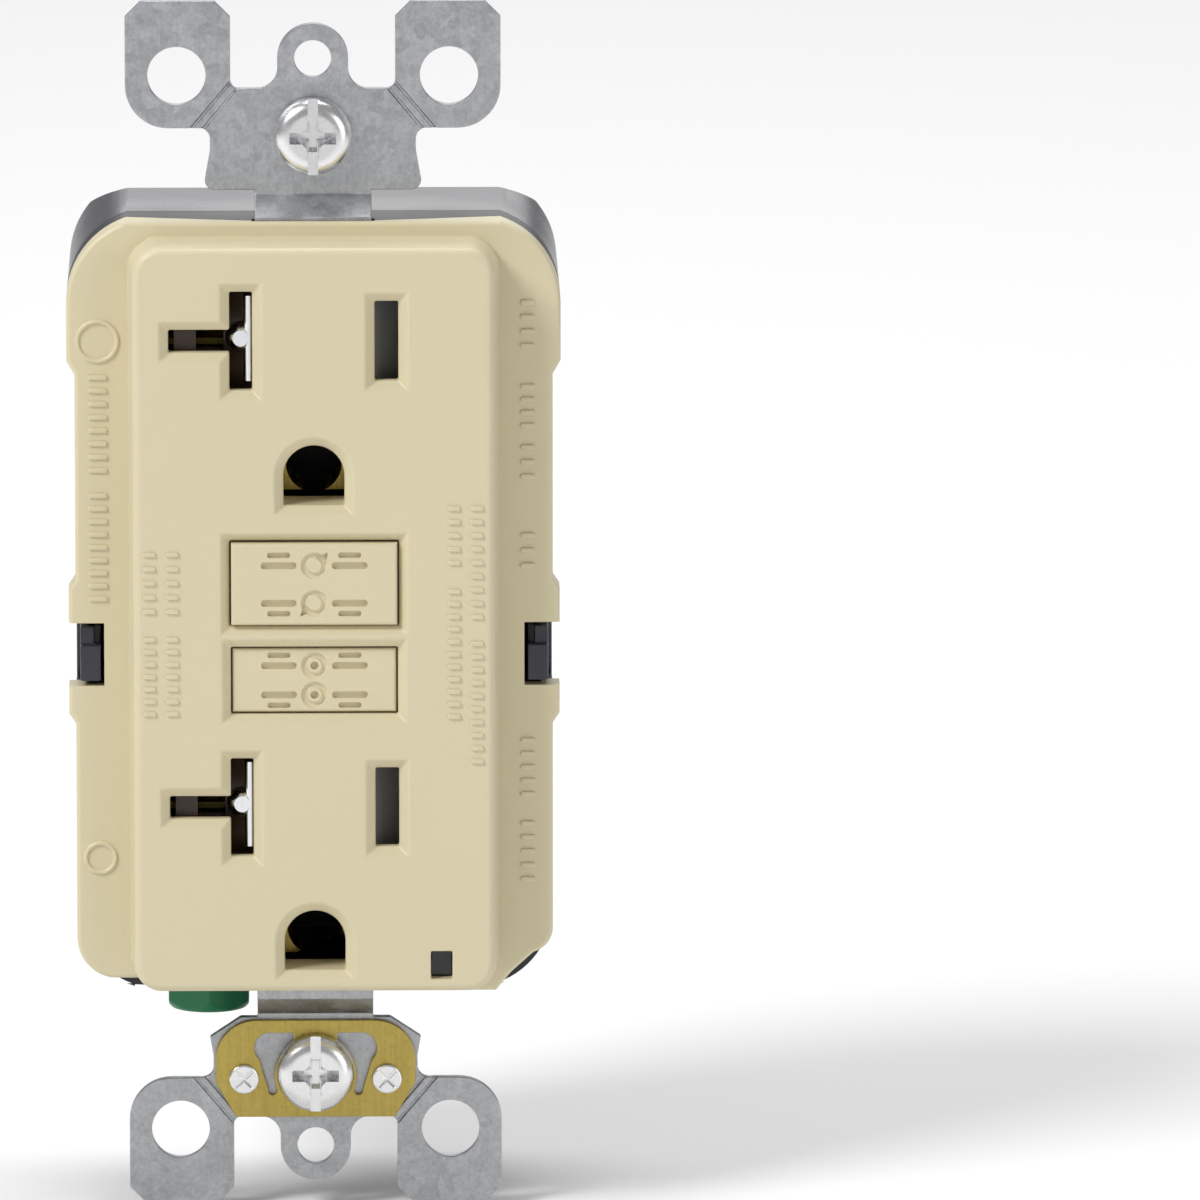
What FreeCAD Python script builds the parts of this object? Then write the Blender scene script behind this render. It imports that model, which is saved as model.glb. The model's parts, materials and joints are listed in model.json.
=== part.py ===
import FreeCAD, Part
import math
import os

# A duplex ground-fault receptacle with tamper-resistant shutters, 20 A, for a single wall box.
# Millimetres. +X is to the right of someone facing the outlet, +Z is up and +Y goes into the wall.
# The origin lies midway between the two mounting screws, on the wall side of the steel strap.

V = FreeCAD.Vector

# ---- the case -------------------------------------------------------------------------------
FACE_Y = -9.4             # front of the raised face
FLANGE_Y = -4.2           # front of the flange round it
COVER_REAR_Y = -1.0       # where the front cover ends and the separator begins
BODY_FRONT_Y = 2.2        # where the separator's rim ends and the back body begins
BODY_REAR_Y = 24.0        # outside of the back wall
BODY_TAPER_Y = 16.0       # the ends of the back body slope in behind this
BODY_TAPER = 2.5          # how far they slope in
CASE_TOP = 34.5
CASE_BOTTOM = -33.9
WIDE = 21.6               # half width at the top corners
NARROW = 20.9             # half width below them
SHOULDER_Z = 27.2         # where the round top corners start
TOP_FLAT = 16.35          # half width of the flat top edge between them
WALL = 1.6
FACE_WALL = 1.8
FACE_HALF = (16.5, 33.3)  # half width and half height of the raised face at its foot
FACE_DRAFT = 0.75         # how much smaller it is at its front
FACE_INNER = (14.6, 31.4)
TRAY_FLOOR_Y = (9.2, 10.2)
TRAY_GAP = 1.9            # separator tray, inside the back body's wall
TRAY_WALL = 3.1
BOSS_X = 17.5
BOSS_Z = 28.5
BOSS_R = 2.2
NOTCH_X = 18.4            # side notch that shows the latch hook
NOTCH_Z = (-6.6, -1.0)

# ---- the outlets ----------------------------------------------------------------------------
OUTLETS = {"upper": 24.7, "lower": -16.6}
BLADE_X = 6.35            # half of the 12.7 blade pitch
GROUND_DROP = 11.9        # ground pin below the blades
HOT_SLOT = (2.06, 6.98)
NEUTRAL_SLOT = (1.98, 8.66)
NEUTRAL_LEG_X = -12.66    # outer end of the sideways leg of the T slot
NEUTRAL_LEG_H = 1.96
GROUND_R = 2.66
GROUND_FLAT = 2.6         # flat edge below the centre of the ground hole's round
BEVEL = 0.85              # chamfer round every opening in the face
BEVEL_DEEP = 0.8

# ---- the buttons ----------------------------------------------------------------------------
RESET_Z = 3.3
RESET_HALF = (7.25, 3.62)
TEST_Z = -5.33
TEST_HALF = (7.15, 2.82)
BUTTON_GAP = 0.15
BUTTON_REAR_Y = -6.2
TEST_FRONT_Y = -8.6
STEM_R = 1.2
STEM_HOLE_R = 1.5
RESET_TIP_Y = 13.6
TEST_TIP_Y = 11.0

# ---- the strap ------------------------------------------------------------------------------
STRAP_T = 1.0
STRAP_IN_Y = -3.4         # front of the strap inside the case
NECK_HALF = 5.1
SCREW_Z = 41.67           # half of the 83.34 mounting pitch
PLATE_HOLE_Z = 48.42      # half of the 96.84 cover plate pitch
EAR_HOLE = (11.9, 46.92)
EAR_HOLE_R = 2.55
SCREW_R = 1.75            # 6-32
NECK_R = 1.5
THREAD_START_Y = 1.2      # behind the washer
CLIP_T = 0.5

# ---- the terminals --------------------------------------------------------------------------
TERMINAL_Z = 17.0
TERMINAL_Y = 14.4
TERMINAL_X = (16.4, 17.4)
CLAMP_X = (12.0, 13.2)
WIRE_X = 14.8
WIRE_DZ = 4.3
WIRE_R = 1.65
GROUND_SCREW = (-9.4, 4.5)
POCKET_X = (-14.9, -4.9)
POCKET_TOP = -24.0

# ---- the mechanism --------------------------------------------------------------------------
CONTACT_X = 11.0
CONTACT_Z = 5.5
CONTACT_R = 1.3
BOARD_Y = (20.0, 21.4)
SOLENOID_Y = 15.2
SHUTTER_Y = (-7.3, -5.15)
FRAME_Y = (-5.0, -4.0)
PIPE = (11.08, -30.6)     # the indicator's window and its light pipe
LED = (9.2, -28.7)


# ---- helpers --------------------------------------------------------------------------------
def box(x, y, z):
    """A block between three (low, high) pairs."""
    return Part.makeBox(x[1] - x[0], y[1] - y[0], z[1] - z[0], V(x[0], y[0], z[0]))


def rod(axis, centre, radius, span):
    """A cylinder along an axis. centre holds its two other coordinates in X, Y, Z order."""
    spots = {
        "x": V(span[0], centre[0], centre[1]),
        "y": V(centre[0], span[0], centre[1]),
        "z": V(centre[0], centre[1], span[0]),
    }
    ways = {"x": V(1, 0, 0), "y": V(0, 1, 0), "z": V(0, 0, 1)}
    return Part.makeCylinder(radius, span[1] - span[0], spots[axis], ways[axis])


def fuse(first, *others):
    return first.multiFuse(list(others)).removeSplitter()


def cut(base, *tools):
    for tool in tools:
        base = base.cut(tool)
    return base


def mirrored(shape, normal=V(1, 0, 0)):
    return shape.mirror(V(0, 0, 0), normal)


def outline(start, *steps):
    """A face in the XZ plane. Each step is the next corner, or (through, end) for an arc."""
    edges = []
    here = V(start[0], 0, start[1])
    first = here
    for step in steps:
        if isinstance(step[0], tuple):
            through, end = [V(x, 0, z) for x, z in step]
            edges.append(Part.Arc(here, through, end).toShape())
        else:
            end = V(step[0], 0, step[1])
            edges.append(Part.LineSegment(here, end).toShape())
        here = end
    if here.distanceToPoint(first) > 1e-6:
        edges.append(Part.LineSegment(here, first).toShape())
    return Part.Face(Part.Wire(edges))


def slab(face, y):
    """A face from the XZ plane made solid between two depths."""
    shape = face.copy()
    shape.translate(V(0, y[0], 0))
    return shape.extrude(V(0, y[1] - y[0], 0))


def rounded(x, z, radius):
    """A rectangle with round corners."""
    k = radius * (1 - math.sqrt(0.5))
    return outline(
        (x[0] + radius, z[0]),
        (x[1] - radius, z[0]),
        ((x[1] - k, z[0] + k), (x[1], z[0] + radius)),
        (x[1], z[1] - radius),
        ((x[1] - k, z[1] - k), (x[1] - radius, z[1])),
        (x[0] + radius, z[1]),
        ((x[0] + k, z[1] - k), (x[0], z[1] - radius)),
        (x[0], z[0] + radius),
        ((x[0] + k, z[0] + k), (x[0] + radius, z[0])),
    )


def rectangle(x, z):
    return outline((x[0], z[0]), (x[1], z[0]), (x[1], z[1]), (x[0], z[1]))


def funnel(face, grow, y_front, y_back, y_end):
    """An opening through a wall: bevelled from y_front to y_back, then straight to y_end."""
    small = face.copy()
    small.translate(V(0, y_back, 0))
    large = face.makeOffset2D(grow, 2)
    large.translate(V(0, y_front, 0))
    mouth = Part.makeLoft([large.OuterWire, small.OuterWire], True, True)
    lip = slab(face.makeOffset2D(grow, 2), (y_front - 1.0, y_front))
    throat = slab(face, (y_back, y_end))
    return [lip, mouth, throat]


def edges_at(shape, y, tolerance=1e-4):
    """The edges that lie wholly in the plane at depth y."""
    found = []
    for edge in shape.Edges:
        box_of = edge.BoundBox
        if abs(box_of.YMin - y) < tolerance and abs(box_of.YMax - y) < tolerance:
            found.append(edge)
    return found


def coil(axis, centre, mean_radius, wire, span, turns):
    """A compression spring along an axis, swept along half circles that tilt to either side in turn."""
    room = 0.6 * wire
    rise = (span[1] - span[0] - 2 * room) / (2 * turns)
    path = []
    for step in range(2 * turns):
        side = mean_radius * (-1) ** step
        start = V(side, 0, step * rise)
        middle = V(0, math.copysign(math.hypot(side, rise / 2), side), (step + 0.5) * rise)
        end = V(-side, 0, (step + 1) * rise)
        path.append(Part.Arc(start, middle, end).toShape())
    profile = Part.Wire(Part.makeCircle(wire / 2, V(mean_radius, 0, 0), V(0, 1, 0)))
    shape = Part.Wire(path).makePipeShell([profile], True, False)
    shape.translate(V(0, 0, room))
    if axis == "y":
        shape.rotate(V(0, 0, 0), V(1, 0, 0), -90)
        shape.translate(V(centre[0], span[0], centre[1]))
    if axis == "x":
        shape.rotate(V(0, 0, 0), V(0, 1, 0), 90)
        shape.translate(V(span[0], centre[0], centre[1]))
    if axis == "z":
        shape.translate(V(centre[0], centre[1], span[0]))
    return shape


# ---- outlines shared by the case pieces -------------------------------------------------------
def shoulder(side, run, rise):
    """Halfway point of an arc that leaves an upright side at a point and ends run in, rise on."""
    x, z = side
    radius = (run ** 2 + rise ** 2) / (2 * run)
    half = math.acos((radius - run) / radius) / 2
    dx = radius * (1 - math.cos(half))
    dz = math.copysign(radius * math.sin(half), rise)
    return (x - math.copysign(dx, x), z + dz)


def top_shoulder(sign):
    side = (sign * WIDE, SHOULDER_Z)
    return shoulder(side, WIDE - TOP_FLAT, CASE_TOP - SHOULDER_Z)


def case_outline():
    """Outline of the separator and the back body: round shoulders and a small step in width."""
    low = (NARROW, -27.0)
    flat = 15.9
    right = [
        (top_shoulder(1), (WIDE, SHOULDER_Z)),
        (WIDE, 22.2),
        (NARROW, 21.0),
        low,
        (shoulder(low, NARROW - flat, CASE_BOTTOM - low[1]), (flat, CASE_BOTTOM)),
    ]
    left = [
        (shoulder((-low[0], low[1]), NARROW - flat, CASE_BOTTOM - low[1]), (-low[0], low[1])),
        (-NARROW, 21.0),
        (-WIDE, 22.2),
        (-WIDE, SHOULDER_Z),
        (top_shoulder(-1), (-TOP_FLAT, CASE_TOP)),
    ]
    return outline((TOP_FLAT, CASE_TOP), *right, (-flat, CASE_BOTTOM), *left)


def cover_outline():
    """The cover's flange: the same shoulders, side bumps, and a lower left cut short."""
    side = [(NARROW, 21.0), (NARROW, 2.9), (21.5, 2.0), (21.5, -9.1), (NARROW, -10.0)]
    right = [
        (top_shoulder(1), (WIDE, SHOULDER_Z)),
        (WIDE, 22.2),
        *side,
        (NARROW, -28.3),
        (shoulder((NARROW, -28.3), 1.7, -2.2), (NARROW - 1.7, -30.5)),
        (17.2, -32.3),
        (15.9, CASE_BOTTOM),
    ]
    left = [
        (-5.3, CASE_BOTTOM),
        (-5.3, -32.7),
        (-17.9, -32.7),
        (shoulder((-NARROW, -29.1), 3.0, -3.6), (-NARROW, -29.1)),
        *[(-x, z) for x, z in reversed(side)],
        (-WIDE, 22.2),
        (-WIDE, SHOULDER_Z),
        (top_shoulder(-1), (-TOP_FLAT, CASE_TOP)),
    ]
    return outline((TOP_FLAT, CASE_TOP), *right, *left)


def strap_wedge(grow, z):
    """The wedge at each end where the case rises to meet the strap."""
    points = [
        V(-16.3 - grow, COVER_REAR_Y, z[0]),
        V(-NECK_HALF - 0.2, STRAP_IN_Y, z[0]),
        V(NECK_HALF + 0.2, STRAP_IN_Y, z[0]),
        V(16.3 + grow, COVER_REAR_Y, z[0]),
    ]
    face = Part.Face(Part.makePolygon(points + points[:1]))
    return face.extrude(V(0, 0, z[1] - z[0]))


def ground_face(z):
    """The D shape of a ground pin hole, flat side down."""
    return outline(
        (-GROUND_R, z - GROUND_FLAT),
        (GROUND_R, z - GROUND_FLAT),
        (GROUND_R, z),
        ((0, z + GROUND_R), (-GROUND_R, z)),
    )


def neutral_face(z):
    """The T slot of a 20 A neutral: an upright blade slot with a leg to the left."""
    x0 = -BLADE_X - NEUTRAL_SLOT[0] / 2
    x1 = -BLADE_X + NEUTRAL_SLOT[0] / 2
    half = NEUTRAL_SLOT[1] / 2
    leg = NEUTRAL_LEG_H / 2
    return outline(
        (x0, z - half), (x1, z - half), (x1, z + half), (x0, z + half),
        (x0, z + leg), (NEUTRAL_LEG_X, z + leg), (NEUTRAL_LEG_X, z - leg), (x0, z - leg),
    )


def hot_face(z):
    return rectangle(
        (BLADE_X - HOT_SLOT[0] / 2, BLADE_X + HOT_SLOT[0] / 2),
        (z - HOT_SLOT[1] / 2, z + HOT_SLOT[1] / 2),
    )


def button_opening(half, z):
    gap = BUTTON_GAP
    return rectangle((-half[0] - gap, half[0] + gap), (z - half[1] - gap, z + half[1] + gap))


# ---- case pieces ------------------------------------------------------------------------------
def raised_face():
    """The raised face: a block with slightly sloping sides and a rounded front edge."""
    foot = rounded((-FACE_HALF[0], FACE_HALF[0]), (-FACE_HALF[1], FACE_HALF[1]), 2.8)
    front_x = FACE_HALF[0] - FACE_DRAFT
    front_z = FACE_HALF[1] - FACE_DRAFT / 2
    front = rounded((-front_x, front_x), (-front_z, front_z), 2.4)
    foot.translate(V(0, COVER_REAR_Y - 0.6, 0))
    front.translate(V(0, FACE_Y, 0))
    block = Part.makeLoft([foot.OuterWire, front.OuterWire], True, True)
    return block.makeFillet(0.75, edges_at(block, FACE_Y))


def front_cover():
    flange = slab(cover_outline(), (FLANGE_Y, COVER_REAR_Y))
    flange = flange.makeFillet(0.4, edges_at(flange, FLANGE_Y))
    shell = fuse(flange, raised_face())
    hollow_y = (FACE_Y + FACE_WALL, COVER_REAR_Y + 0.1)
    shell = shell.cut(slab(rounded(
        (-FACE_INNER[0], FACE_INNER[0]), (-FACE_INNER[1], FACE_INNER[1]), 1.2), hollow_y))
    rim = slab(cover_outline().makeOffset2D(-WALL), (FLANGE_Y + FACE_WALL, COVER_REAR_Y + 0.1))
    wall = box((-FACE_HALF[0], FACE_HALF[0]), (FLANGE_Y, 0), (-FACE_HALF[1], FACE_HALF[1]))
    shell = shell.cut(rim.cut(wall))
    for sx in (-1, 1):
        for sz in (-1, 1):
            spot = (sx * BOSS_X, sz * BOSS_Z)
            shell = shell.fuse(rod("y", spot, BOSS_R, (FLANGE_Y + 1.0, COVER_REAR_Y)))
            shell = shell.cut(rod("y", spot, 1.2, (FLANGE_Y + 0.8, COVER_REAR_Y)))
    for z in OUTLETS.values():
        ground = z - GROUND_DROP
        chute = slab(ground_face(ground).makeOffset2D(1.0, 2), (FACE_Y + FACE_WALL, STRAP_IN_Y - 0.3))
        shell = shell.fuse(chute)
        for face in (neutral_face(z), hot_face(z)):
            shell = cut(shell, *funnel(face, BEVEL, FACE_Y, FACE_Y + BEVEL_DEEP, -7.0))
        shell = cut(shell, *funnel(
            ground_face(ground), BEVEL, FACE_Y, FACE_Y + BEVEL_DEEP, COVER_REAR_Y))
    for half, z in ((RESET_HALF, RESET_Z), (TEST_HALF, TEST_Z)):
        shell = cut(shell, *funnel(
            button_opening(half, z), 0.75, FACE_Y, FACE_Y + BEVEL_DEEP, -7.0))
    window = rectangle((PIPE[0] - 0.94, PIPE[0] + 0.94), (PIPE[1] - 1.24, PIPE[1] + 1.24))
    shell = shell.cut(slab(window, (FACE_Y - 1, COVER_REAR_Y + 0.1)))
    neck = (-NECK_HALF - 0.2, NECK_HALF + 0.2)
    for span in ((FACE_INNER[1], 35.0), (-35.0, -FACE_INNER[1])):
        shell = shell.cut(box(neck, (STRAP_IN_Y - 0.1, 0), span))
        shell = shell.cut(strap_wedge(0.0, span))
    for side in (-1, 1):
        notch = box((NOTCH_X, 23), (FLANGE_Y - 1, 0), NOTCH_Z)
        shell = shell.cut(notch if side > 0 else mirrored(notch))
    return shell.removeSplitter()


def ground_pocket(grow):
    """The bay at the lower left that holds the ground wire clamp."""
    return box(
        (POCKET_X[0] - grow, POCKET_X[1] + grow),
        (STRAP_IN_Y + STRAP_T + 0.1, TRAY_FLOOR_Y[0]),
        (-36.0, POCKET_TOP + grow),
    )


def separator():
    whole = case_outline()
    rim = slab(whole, (COVER_REAR_Y, BODY_FRONT_Y))
    tray = slab(whole.makeOffset2D(-TRAY_GAP), (BODY_FRONT_Y - 0.5, TRAY_FLOOR_Y[1]))
    shape = fuse(rim, tray)
    for span in ((FACE_INNER[1] + 0.3, CASE_TOP), (CASE_BOTTOM, -FACE_INNER[1] - 0.3)):
        shape = shape.fuse(strap_wedge(-0.3, span))
    hollow = whole.makeOffset2D(-TRAY_WALL)
    shape = shape.cut(slab(hollow, (STRAP_IN_Y - 1, TRAY_FLOOR_Y[0])))
    tray_space = slab(whole.makeOffset2D(-TRAY_GAP), (COVER_REAR_Y, TRAY_FLOOR_Y[1]))
    shape = shape.fuse(ground_pocket(1.0).common(tray_space))
    for sx in (-1, 1):
        for sz in (-1, 1):
            spot = (sx * BOSS_X, sz * BOSS_Z)
            boss = rod("y", spot, BOSS_R, (COVER_REAR_Y, TRAY_FLOOR_Y[1]))
            shape = shape.fuse(boss.common(tray_space))
            shape = shape.cut(rod("y", spot, 1.5, (-2, 11)))
        shape = shape.cut(rod("y", (sx * CONTACT_X, CONTACT_Z), 1.6, (8, 11)))
        slot = box((TERMINAL_X[0] - 0.2, TERMINAL_X[1] + 0.2), (8, 11), (13.9, 20.1))
        shape = shape.cut(slot if sx > 0 else mirrored(slot))
        notch = box((NOTCH_X, 23), (-3, TRAY_FLOOR_Y[1] + 1), (NOTCH_Z[0], NOTCH_Z[1]))
        shape = shape.cut(notch if sx > 0 else mirrored(notch))
    for z in (RESET_Z, TEST_Z):
        shape = shape.cut(rod("y", (0, z), STEM_HOLE_R, (8, 11)))
    neck = (-NECK_HALF - 0.2, NECK_HALF + 0.2)
    shape = shape.cut(box(neck, (STRAP_IN_Y - 1, STRAP_IN_Y + STRAP_T + 0.1), (-36, 36)))
    shape = shape.cut(ground_pocket(0.0))
    shape = shape.cut(box((POCKET_X[0], -NECK_HALF), (STRAP_IN_Y - 1, 0), (-36, -31)))
    shape = shape.cut(box((PIPE[0] - 0.95, PIPE[0] + 0.95), (-2, 11), (PIPE[1] - 1.2, PIPE[1] + 1.2)))
    return shape.removeSplitter()


def taper_tools(inset, y_end):
    """Wedges that slope the ends of the back body inwards towards the wall."""
    tools = []
    for edge, sign in ((CASE_TOP, 1), (CASE_BOTTOM, -1)):
        z0 = edge - sign * inset
        points = [
            V(-30, BODY_TAPER_Y, z0),
            V(-30, y_end, z0 - sign * BODY_TAPER * (y_end - BODY_TAPER_Y) / 8.0),
            V(-30, y_end, z0 + sign * 5),
            V(-30, BODY_TAPER_Y, z0 + sign * 5),
        ]
        tools.append(Part.Face(Part.makePolygon(points + points[:1])).extrude(V(60, 0, 0)))
    return tools


def latch_hook():
    """The hook of the back body that snaps into the cover's side notch, right-hand one."""
    stem = box((18.7, 20.5), (FLANGE_Y + 0.7, BODY_FRONT_Y + 1), (-6.2, -1.4))
    nose = box((18.7, 20.5), (FLANGE_Y + 0.2, FLANGE_Y + 0.7), (-6.2, -3.0))
    step = box((18.7, 19.3), (FLANGE_Y + 0.2, FLANGE_Y + 1.6), (-3.0, -1.4))
    return fuse(stem, nose).cut(step)


def back_body():
    whole = case_outline()
    shape = slab(whole, (BODY_FRONT_Y, BODY_REAR_Y))
    shape = cut(shape, *taper_tools(0.0, BODY_REAR_Y + 1))
    shape = shape.makeFillet(1.0, edges_at(shape, BODY_REAR_Y))
    hollow = slab(whole.makeOffset2D(-WALL), (BODY_FRONT_Y - 1, BODY_REAR_Y - WALL))
    shape = shape.cut(cut(hollow, *taper_tools(WALL, BODY_REAR_Y + 1)))
    for sx in (-1, 1):
        for sz in (-1, 1):
            spot = (sx * BOSS_X, sz * BOSS_Z)
            post = rod("y", spot, 2.8, (TRAY_FLOOR_Y[1] + 0.1, BODY_REAR_Y - 0.5))
            shape = shape.fuse(post)
            shape = shape.cut(rod("y", spot, 1.5, (0, 30)))
            shape = shape.cut(rod("y", spot, 2.5, (BODY_REAR_Y - 2.2, 30)))
            middle = sz * TERMINAL_Z
            bay = box((18.0, 23), (9.4, 19.4), (middle - 5.2, middle + 5.2))
            shape = shape.cut(bay if sx > 0 else mirrored(bay))
            for dz in (-WIRE_DZ, WIRE_DZ):
                hole = (sx * WIRE_X, middle + dz)
                shape = shape.cut(rod("y", hole, WIRE_R, (20, 30)))
        hook = latch_hook()
        shape = shape.fuse(hook if sx > 0 else mirrored(hook))
    pocket = box(POCKET_X, (0, TRAY_FLOOR_Y[1]), (-36, -31))
    shape = shape.cut(pocket)
    for z in (-8, 8):
        shape = shape.cut(box((-9, 9), (BODY_REAR_Y - 0.5, 30), (z - 5, z + 5)))
    return shape.removeSplitter()


# ---- strap and what is fastened to it ---------------------------------------------------------
def strap_end_face():
    """The wide end of the strap with its two break-off ears and the cover plate tab, upper end."""
    right = [
        (8.5, 36.85),
        ((9.2, 37.1), (9.4, 38.0)),
        (9.0, 40.3),
        (9.0, 41.4),
        ((9.3, 42.05), (9.95, 42.3)),
        (12.6, 42.3),
        ((15.3, 43.4), (16.4, 46.1)),
        (16.4, 52.1),
        (15.0, 53.5),
        (8.6, 53.5),
        (7.2, 52.1),
        (7.2, 46.5),
        ((7.0, 46.0), (6.5, 45.8)),
        (4.7, 45.8),
        ((3.6, 46.3), (3.1, 47.4)),
        (3.1, PLATE_HOLE_Z),
    ]
    arc_top = ((0, PLATE_HOLE_Z + 3.1), (-3.1, PLATE_HOLE_Z))
    left = [
        (-3.1, 47.4),
        ((-3.6, 46.3), (-4.7, 45.8)),
        (-6.5, 45.8),
        ((-7.0, 46.0), (-7.2, 46.5)),
        (-7.2, 52.1),
        (-8.6, 53.5),
        (-15.0, 53.5),
        (-16.4, 52.1),
        (-16.4, 46.1),
        ((-15.3, 43.4), (-12.6, 42.3)),
        (-9.95, 42.3),
        ((-9.3, 42.05), (-9.0, 41.4)),
        (-9.0, 40.3),
        (-9.4, 38.0),
        ((-9.2, 37.1), (-8.5, 36.85)),
        (-NECK_HALF, 36.85),
    ]
    return outline((NECK_HALF, 36.85), *right, arc_top, *left)


def strap_end():
    """One end of the strap: flat plate, screw slot, holes, score lines and the step to the neck."""
    plate = slab(strap_end_face(), (-STRAP_T, 0))
    slot = rounded((-3.2, 3.2), (SCREW_Z - 1.95, SCREW_Z + 1.95), 1.94)
    plate = plate.cut(slab(slot, (-2, 1)))
    plate = plate.cut(rod("y", (0, PLATE_HOLE_Z), 1.62, (-2, 1)))
    for side in (-1, 1):
        plate = plate.cut(rod("y", (side * EAR_HOLE[0], EAR_HOLE[1]), EAR_HOLE_R, (-2, 1)))
        for shift in (0.0, 0.8):
            groove = box((-0.12, 0.12), (-STRAP_T - 0.1, -STRAP_T + 0.18), (-3.2, 3.2))
            groove.rotate(V(0, 0, 0), V(0, 1, 0), -side * 40)
            groove.translate(V(side * (8.2 + shift), 0, 43.9 + shift * 0.4))
            plate = plate.cut(groove)
        groove = box((-0.12, 0.12), (-0.15, 0.1), (-3.2, 3.2))
        groove.rotate(V(0, 0, 0), V(0, 1, 0), -side * 40)
        groove.translate(V(side * 8.6, 0, 44.06))
        plate = plate.cut(groove)
    points = [
        V(-NECK_HALF, STRAP_IN_Y, 34.0),
        V(-NECK_HALF, STRAP_IN_Y, 34.75),
        V(-NECK_HALF, -STRAP_T, 36.5),
        V(-NECK_HALF, -STRAP_T, 37.2),
        V(-NECK_HALF, 0, 37.2),
        V(-NECK_HALF, 0, 36.2),
        V(-NECK_HALF, STRAP_IN_Y + STRAP_T, 34.45),
        V(-NECK_HALF, STRAP_IN_Y + STRAP_T, 34.0),
    ]
    step = Part.Face(Part.makePolygon(points + points[:1])).extrude(V(2 * NECK_HALF, 0, 0))
    return fuse(plate, step)


def ground_tab():
    """The tab of the strap that bends back into the ground wire bay."""
    x = (-14.0, -NECK_HALF + 0.1)
    outer = (x[0], POCKET_X[1] - 0.3)
    front = box(x, (STRAP_IN_Y, STRAP_IN_Y + STRAP_T), (-31.1, -26.0))
    shelf = box(outer, (STRAP_IN_Y, 0.1), (-31.1, -30.1))
    drop = box(outer, (-0.9, 0.1), (-33.2, -30.1))
    seat = box(outer, (-0.9, 8.9), (-33.2, -32.2))
    tab = fuse(front, shelf, drop, seat)
    return tab.cut(rod("z", GROUND_SCREW, 2.3, (-34, -31)))


def mounting_strap():
    """The steel strap. Its lower end has sloping corners, and holes for the clip's rivets."""
    upper = strap_end()
    lower = mirrored(upper, V(0, 0, 1))
    neck = box((-NECK_HALF + 0.1, NECK_HALF - 0.1), (STRAP_IN_Y, STRAP_IN_Y + STRAP_T), (-34.2, 34.2))
    for z in OUTLETS.values():
        ground = z - GROUND_DROP
        neck = neck.cut(slab(rounded((-3.1, 3.1), (ground - 3.1, ground + 3.1), 0.8), (-5, 0)))
    for z in (RESET_Z, TEST_Z):
        neck = neck.cut(rod("y", (0, z), 2.9, (-5, 0)))
    strap = fuse(neck, upper, lower, ground_tab())
    for side in (-1, 1):
        corner = outline((side * 6.2, -36.6), (side * 9.9, -36.6), (side * 9.9, -39.05))
        strap = strap.cut(slab(corner, (-2, 1)))
        strap = strap.cut(rod("y", (side * 6.3, -42.3), 0.8, (-2, 1)))
    return strap


def clip_window():
    """The teardrop window beside the lower screw, left-hand one."""
    return outline(
        (-1.9, -38.2),
        (-4.3, -38.2),
        ((-5.35, -39.2), (-4.95, -40.6)),
        (-4.15, -43.3),
        ((-3.75, -43.75), (-3.45, -43.2)),
        ((-3.45, -40.9), (-1.9, -39.0)),
    )


def ground_clip_plate():
    """The thin brass plate on the lower end that earths the strap through its screw."""
    shape = outline(
        (5.2, -37.05),
        ((7.75, -38.1), (8.8, -40.6)),
        (8.8, -42.65),
        (7.0, -45.75),
        (-7.0, -45.75),
        (-8.8, -42.65),
        (-8.8, -40.6),
        ((-7.75, -38.1), (-5.2, -37.05)),
    )
    plate = slab(shape, (-STRAP_T - CLIP_T, -STRAP_T))
    hole = rounded((-3.2, 3.2), (-SCREW_Z - 1.95, -SCREW_Z + 1.95), 1.94)
    plate = plate.cut(slab(hole, (-3, 0)))
    window = slab(clip_window(), (-3, 0))
    plate = cut(plate, window, mirrored(window))
    for side in (-1, 1):
        plate = plate.cut(rod("y", (side * 6.3, -42.3), 0.8, (-3, 0)))
    return plate


def clip_rivets():
    """Two rivets that hold the clip plate, each staked with a cross."""
    rivets = []
    for side in (-1, 1):
        spot = (side * 6.3, -42.3)
        front = -STRAP_T - CLIP_T
        head = rod("y", spot, 1.32, (front - 0.4, front))
        head = head.makeFillet(0.2, edges_at(head, front - 0.4))
        shank = rod("y", spot, 0.75, (front, 0.01))
        tail = rod("y", spot, 1.2, (0, 0.35))
        rivet = fuse(head, shank, tail)
        for angle in (45, -45):
            mark = box((-1.0, 1.0), (front - 0.6, front - 0.22), (-0.13, 0.13))
            mark.rotate(V(0, 0, 0), V(0, 1, 0), angle)
            mark.translate(V(spot[0], 0, spot[1]))
            rivet = rivet.cut(mark)
        rivets.append(rivet)
    return Part.makeCompound(rivets)


def driver_marks(radius, depth):
    """A combination recess on a head that faces -Y at the origin: one slot and a cross."""
    slot = box((-0.57, 0.57), (-0.1, depth * 0.6), (-radius - 1, radius + 1))
    across = box((-radius * 0.57, radius * 0.57), (-0.1, depth), (-0.45, 0.45))
    upright = box((-0.45, 0.45), (-0.1, depth), (-radius * 0.46, radius * 0.46))
    return fuse(slot, across, upright)


def pan_screw(head_r, head_h, shank_r, length):
    """A pan-head screw along +Y, with the underside of its head at the origin."""
    head = rod("y", (0, 0), head_r, (-head_h, 0))
    head = head.makeFillet(head_h * 0.7, edges_at(head, -head_h))
    marks = driver_marks(head_r, head_h * 0.75)
    marks.translate(V(0, -head_h, 0))
    shank = rod("y", (0, 0), shank_r, (-0.2, length))
    shank = shank.makeChamfer(0.5, edges_at(shank, length))
    return fuse(head, shank).cut(marks)


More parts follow.
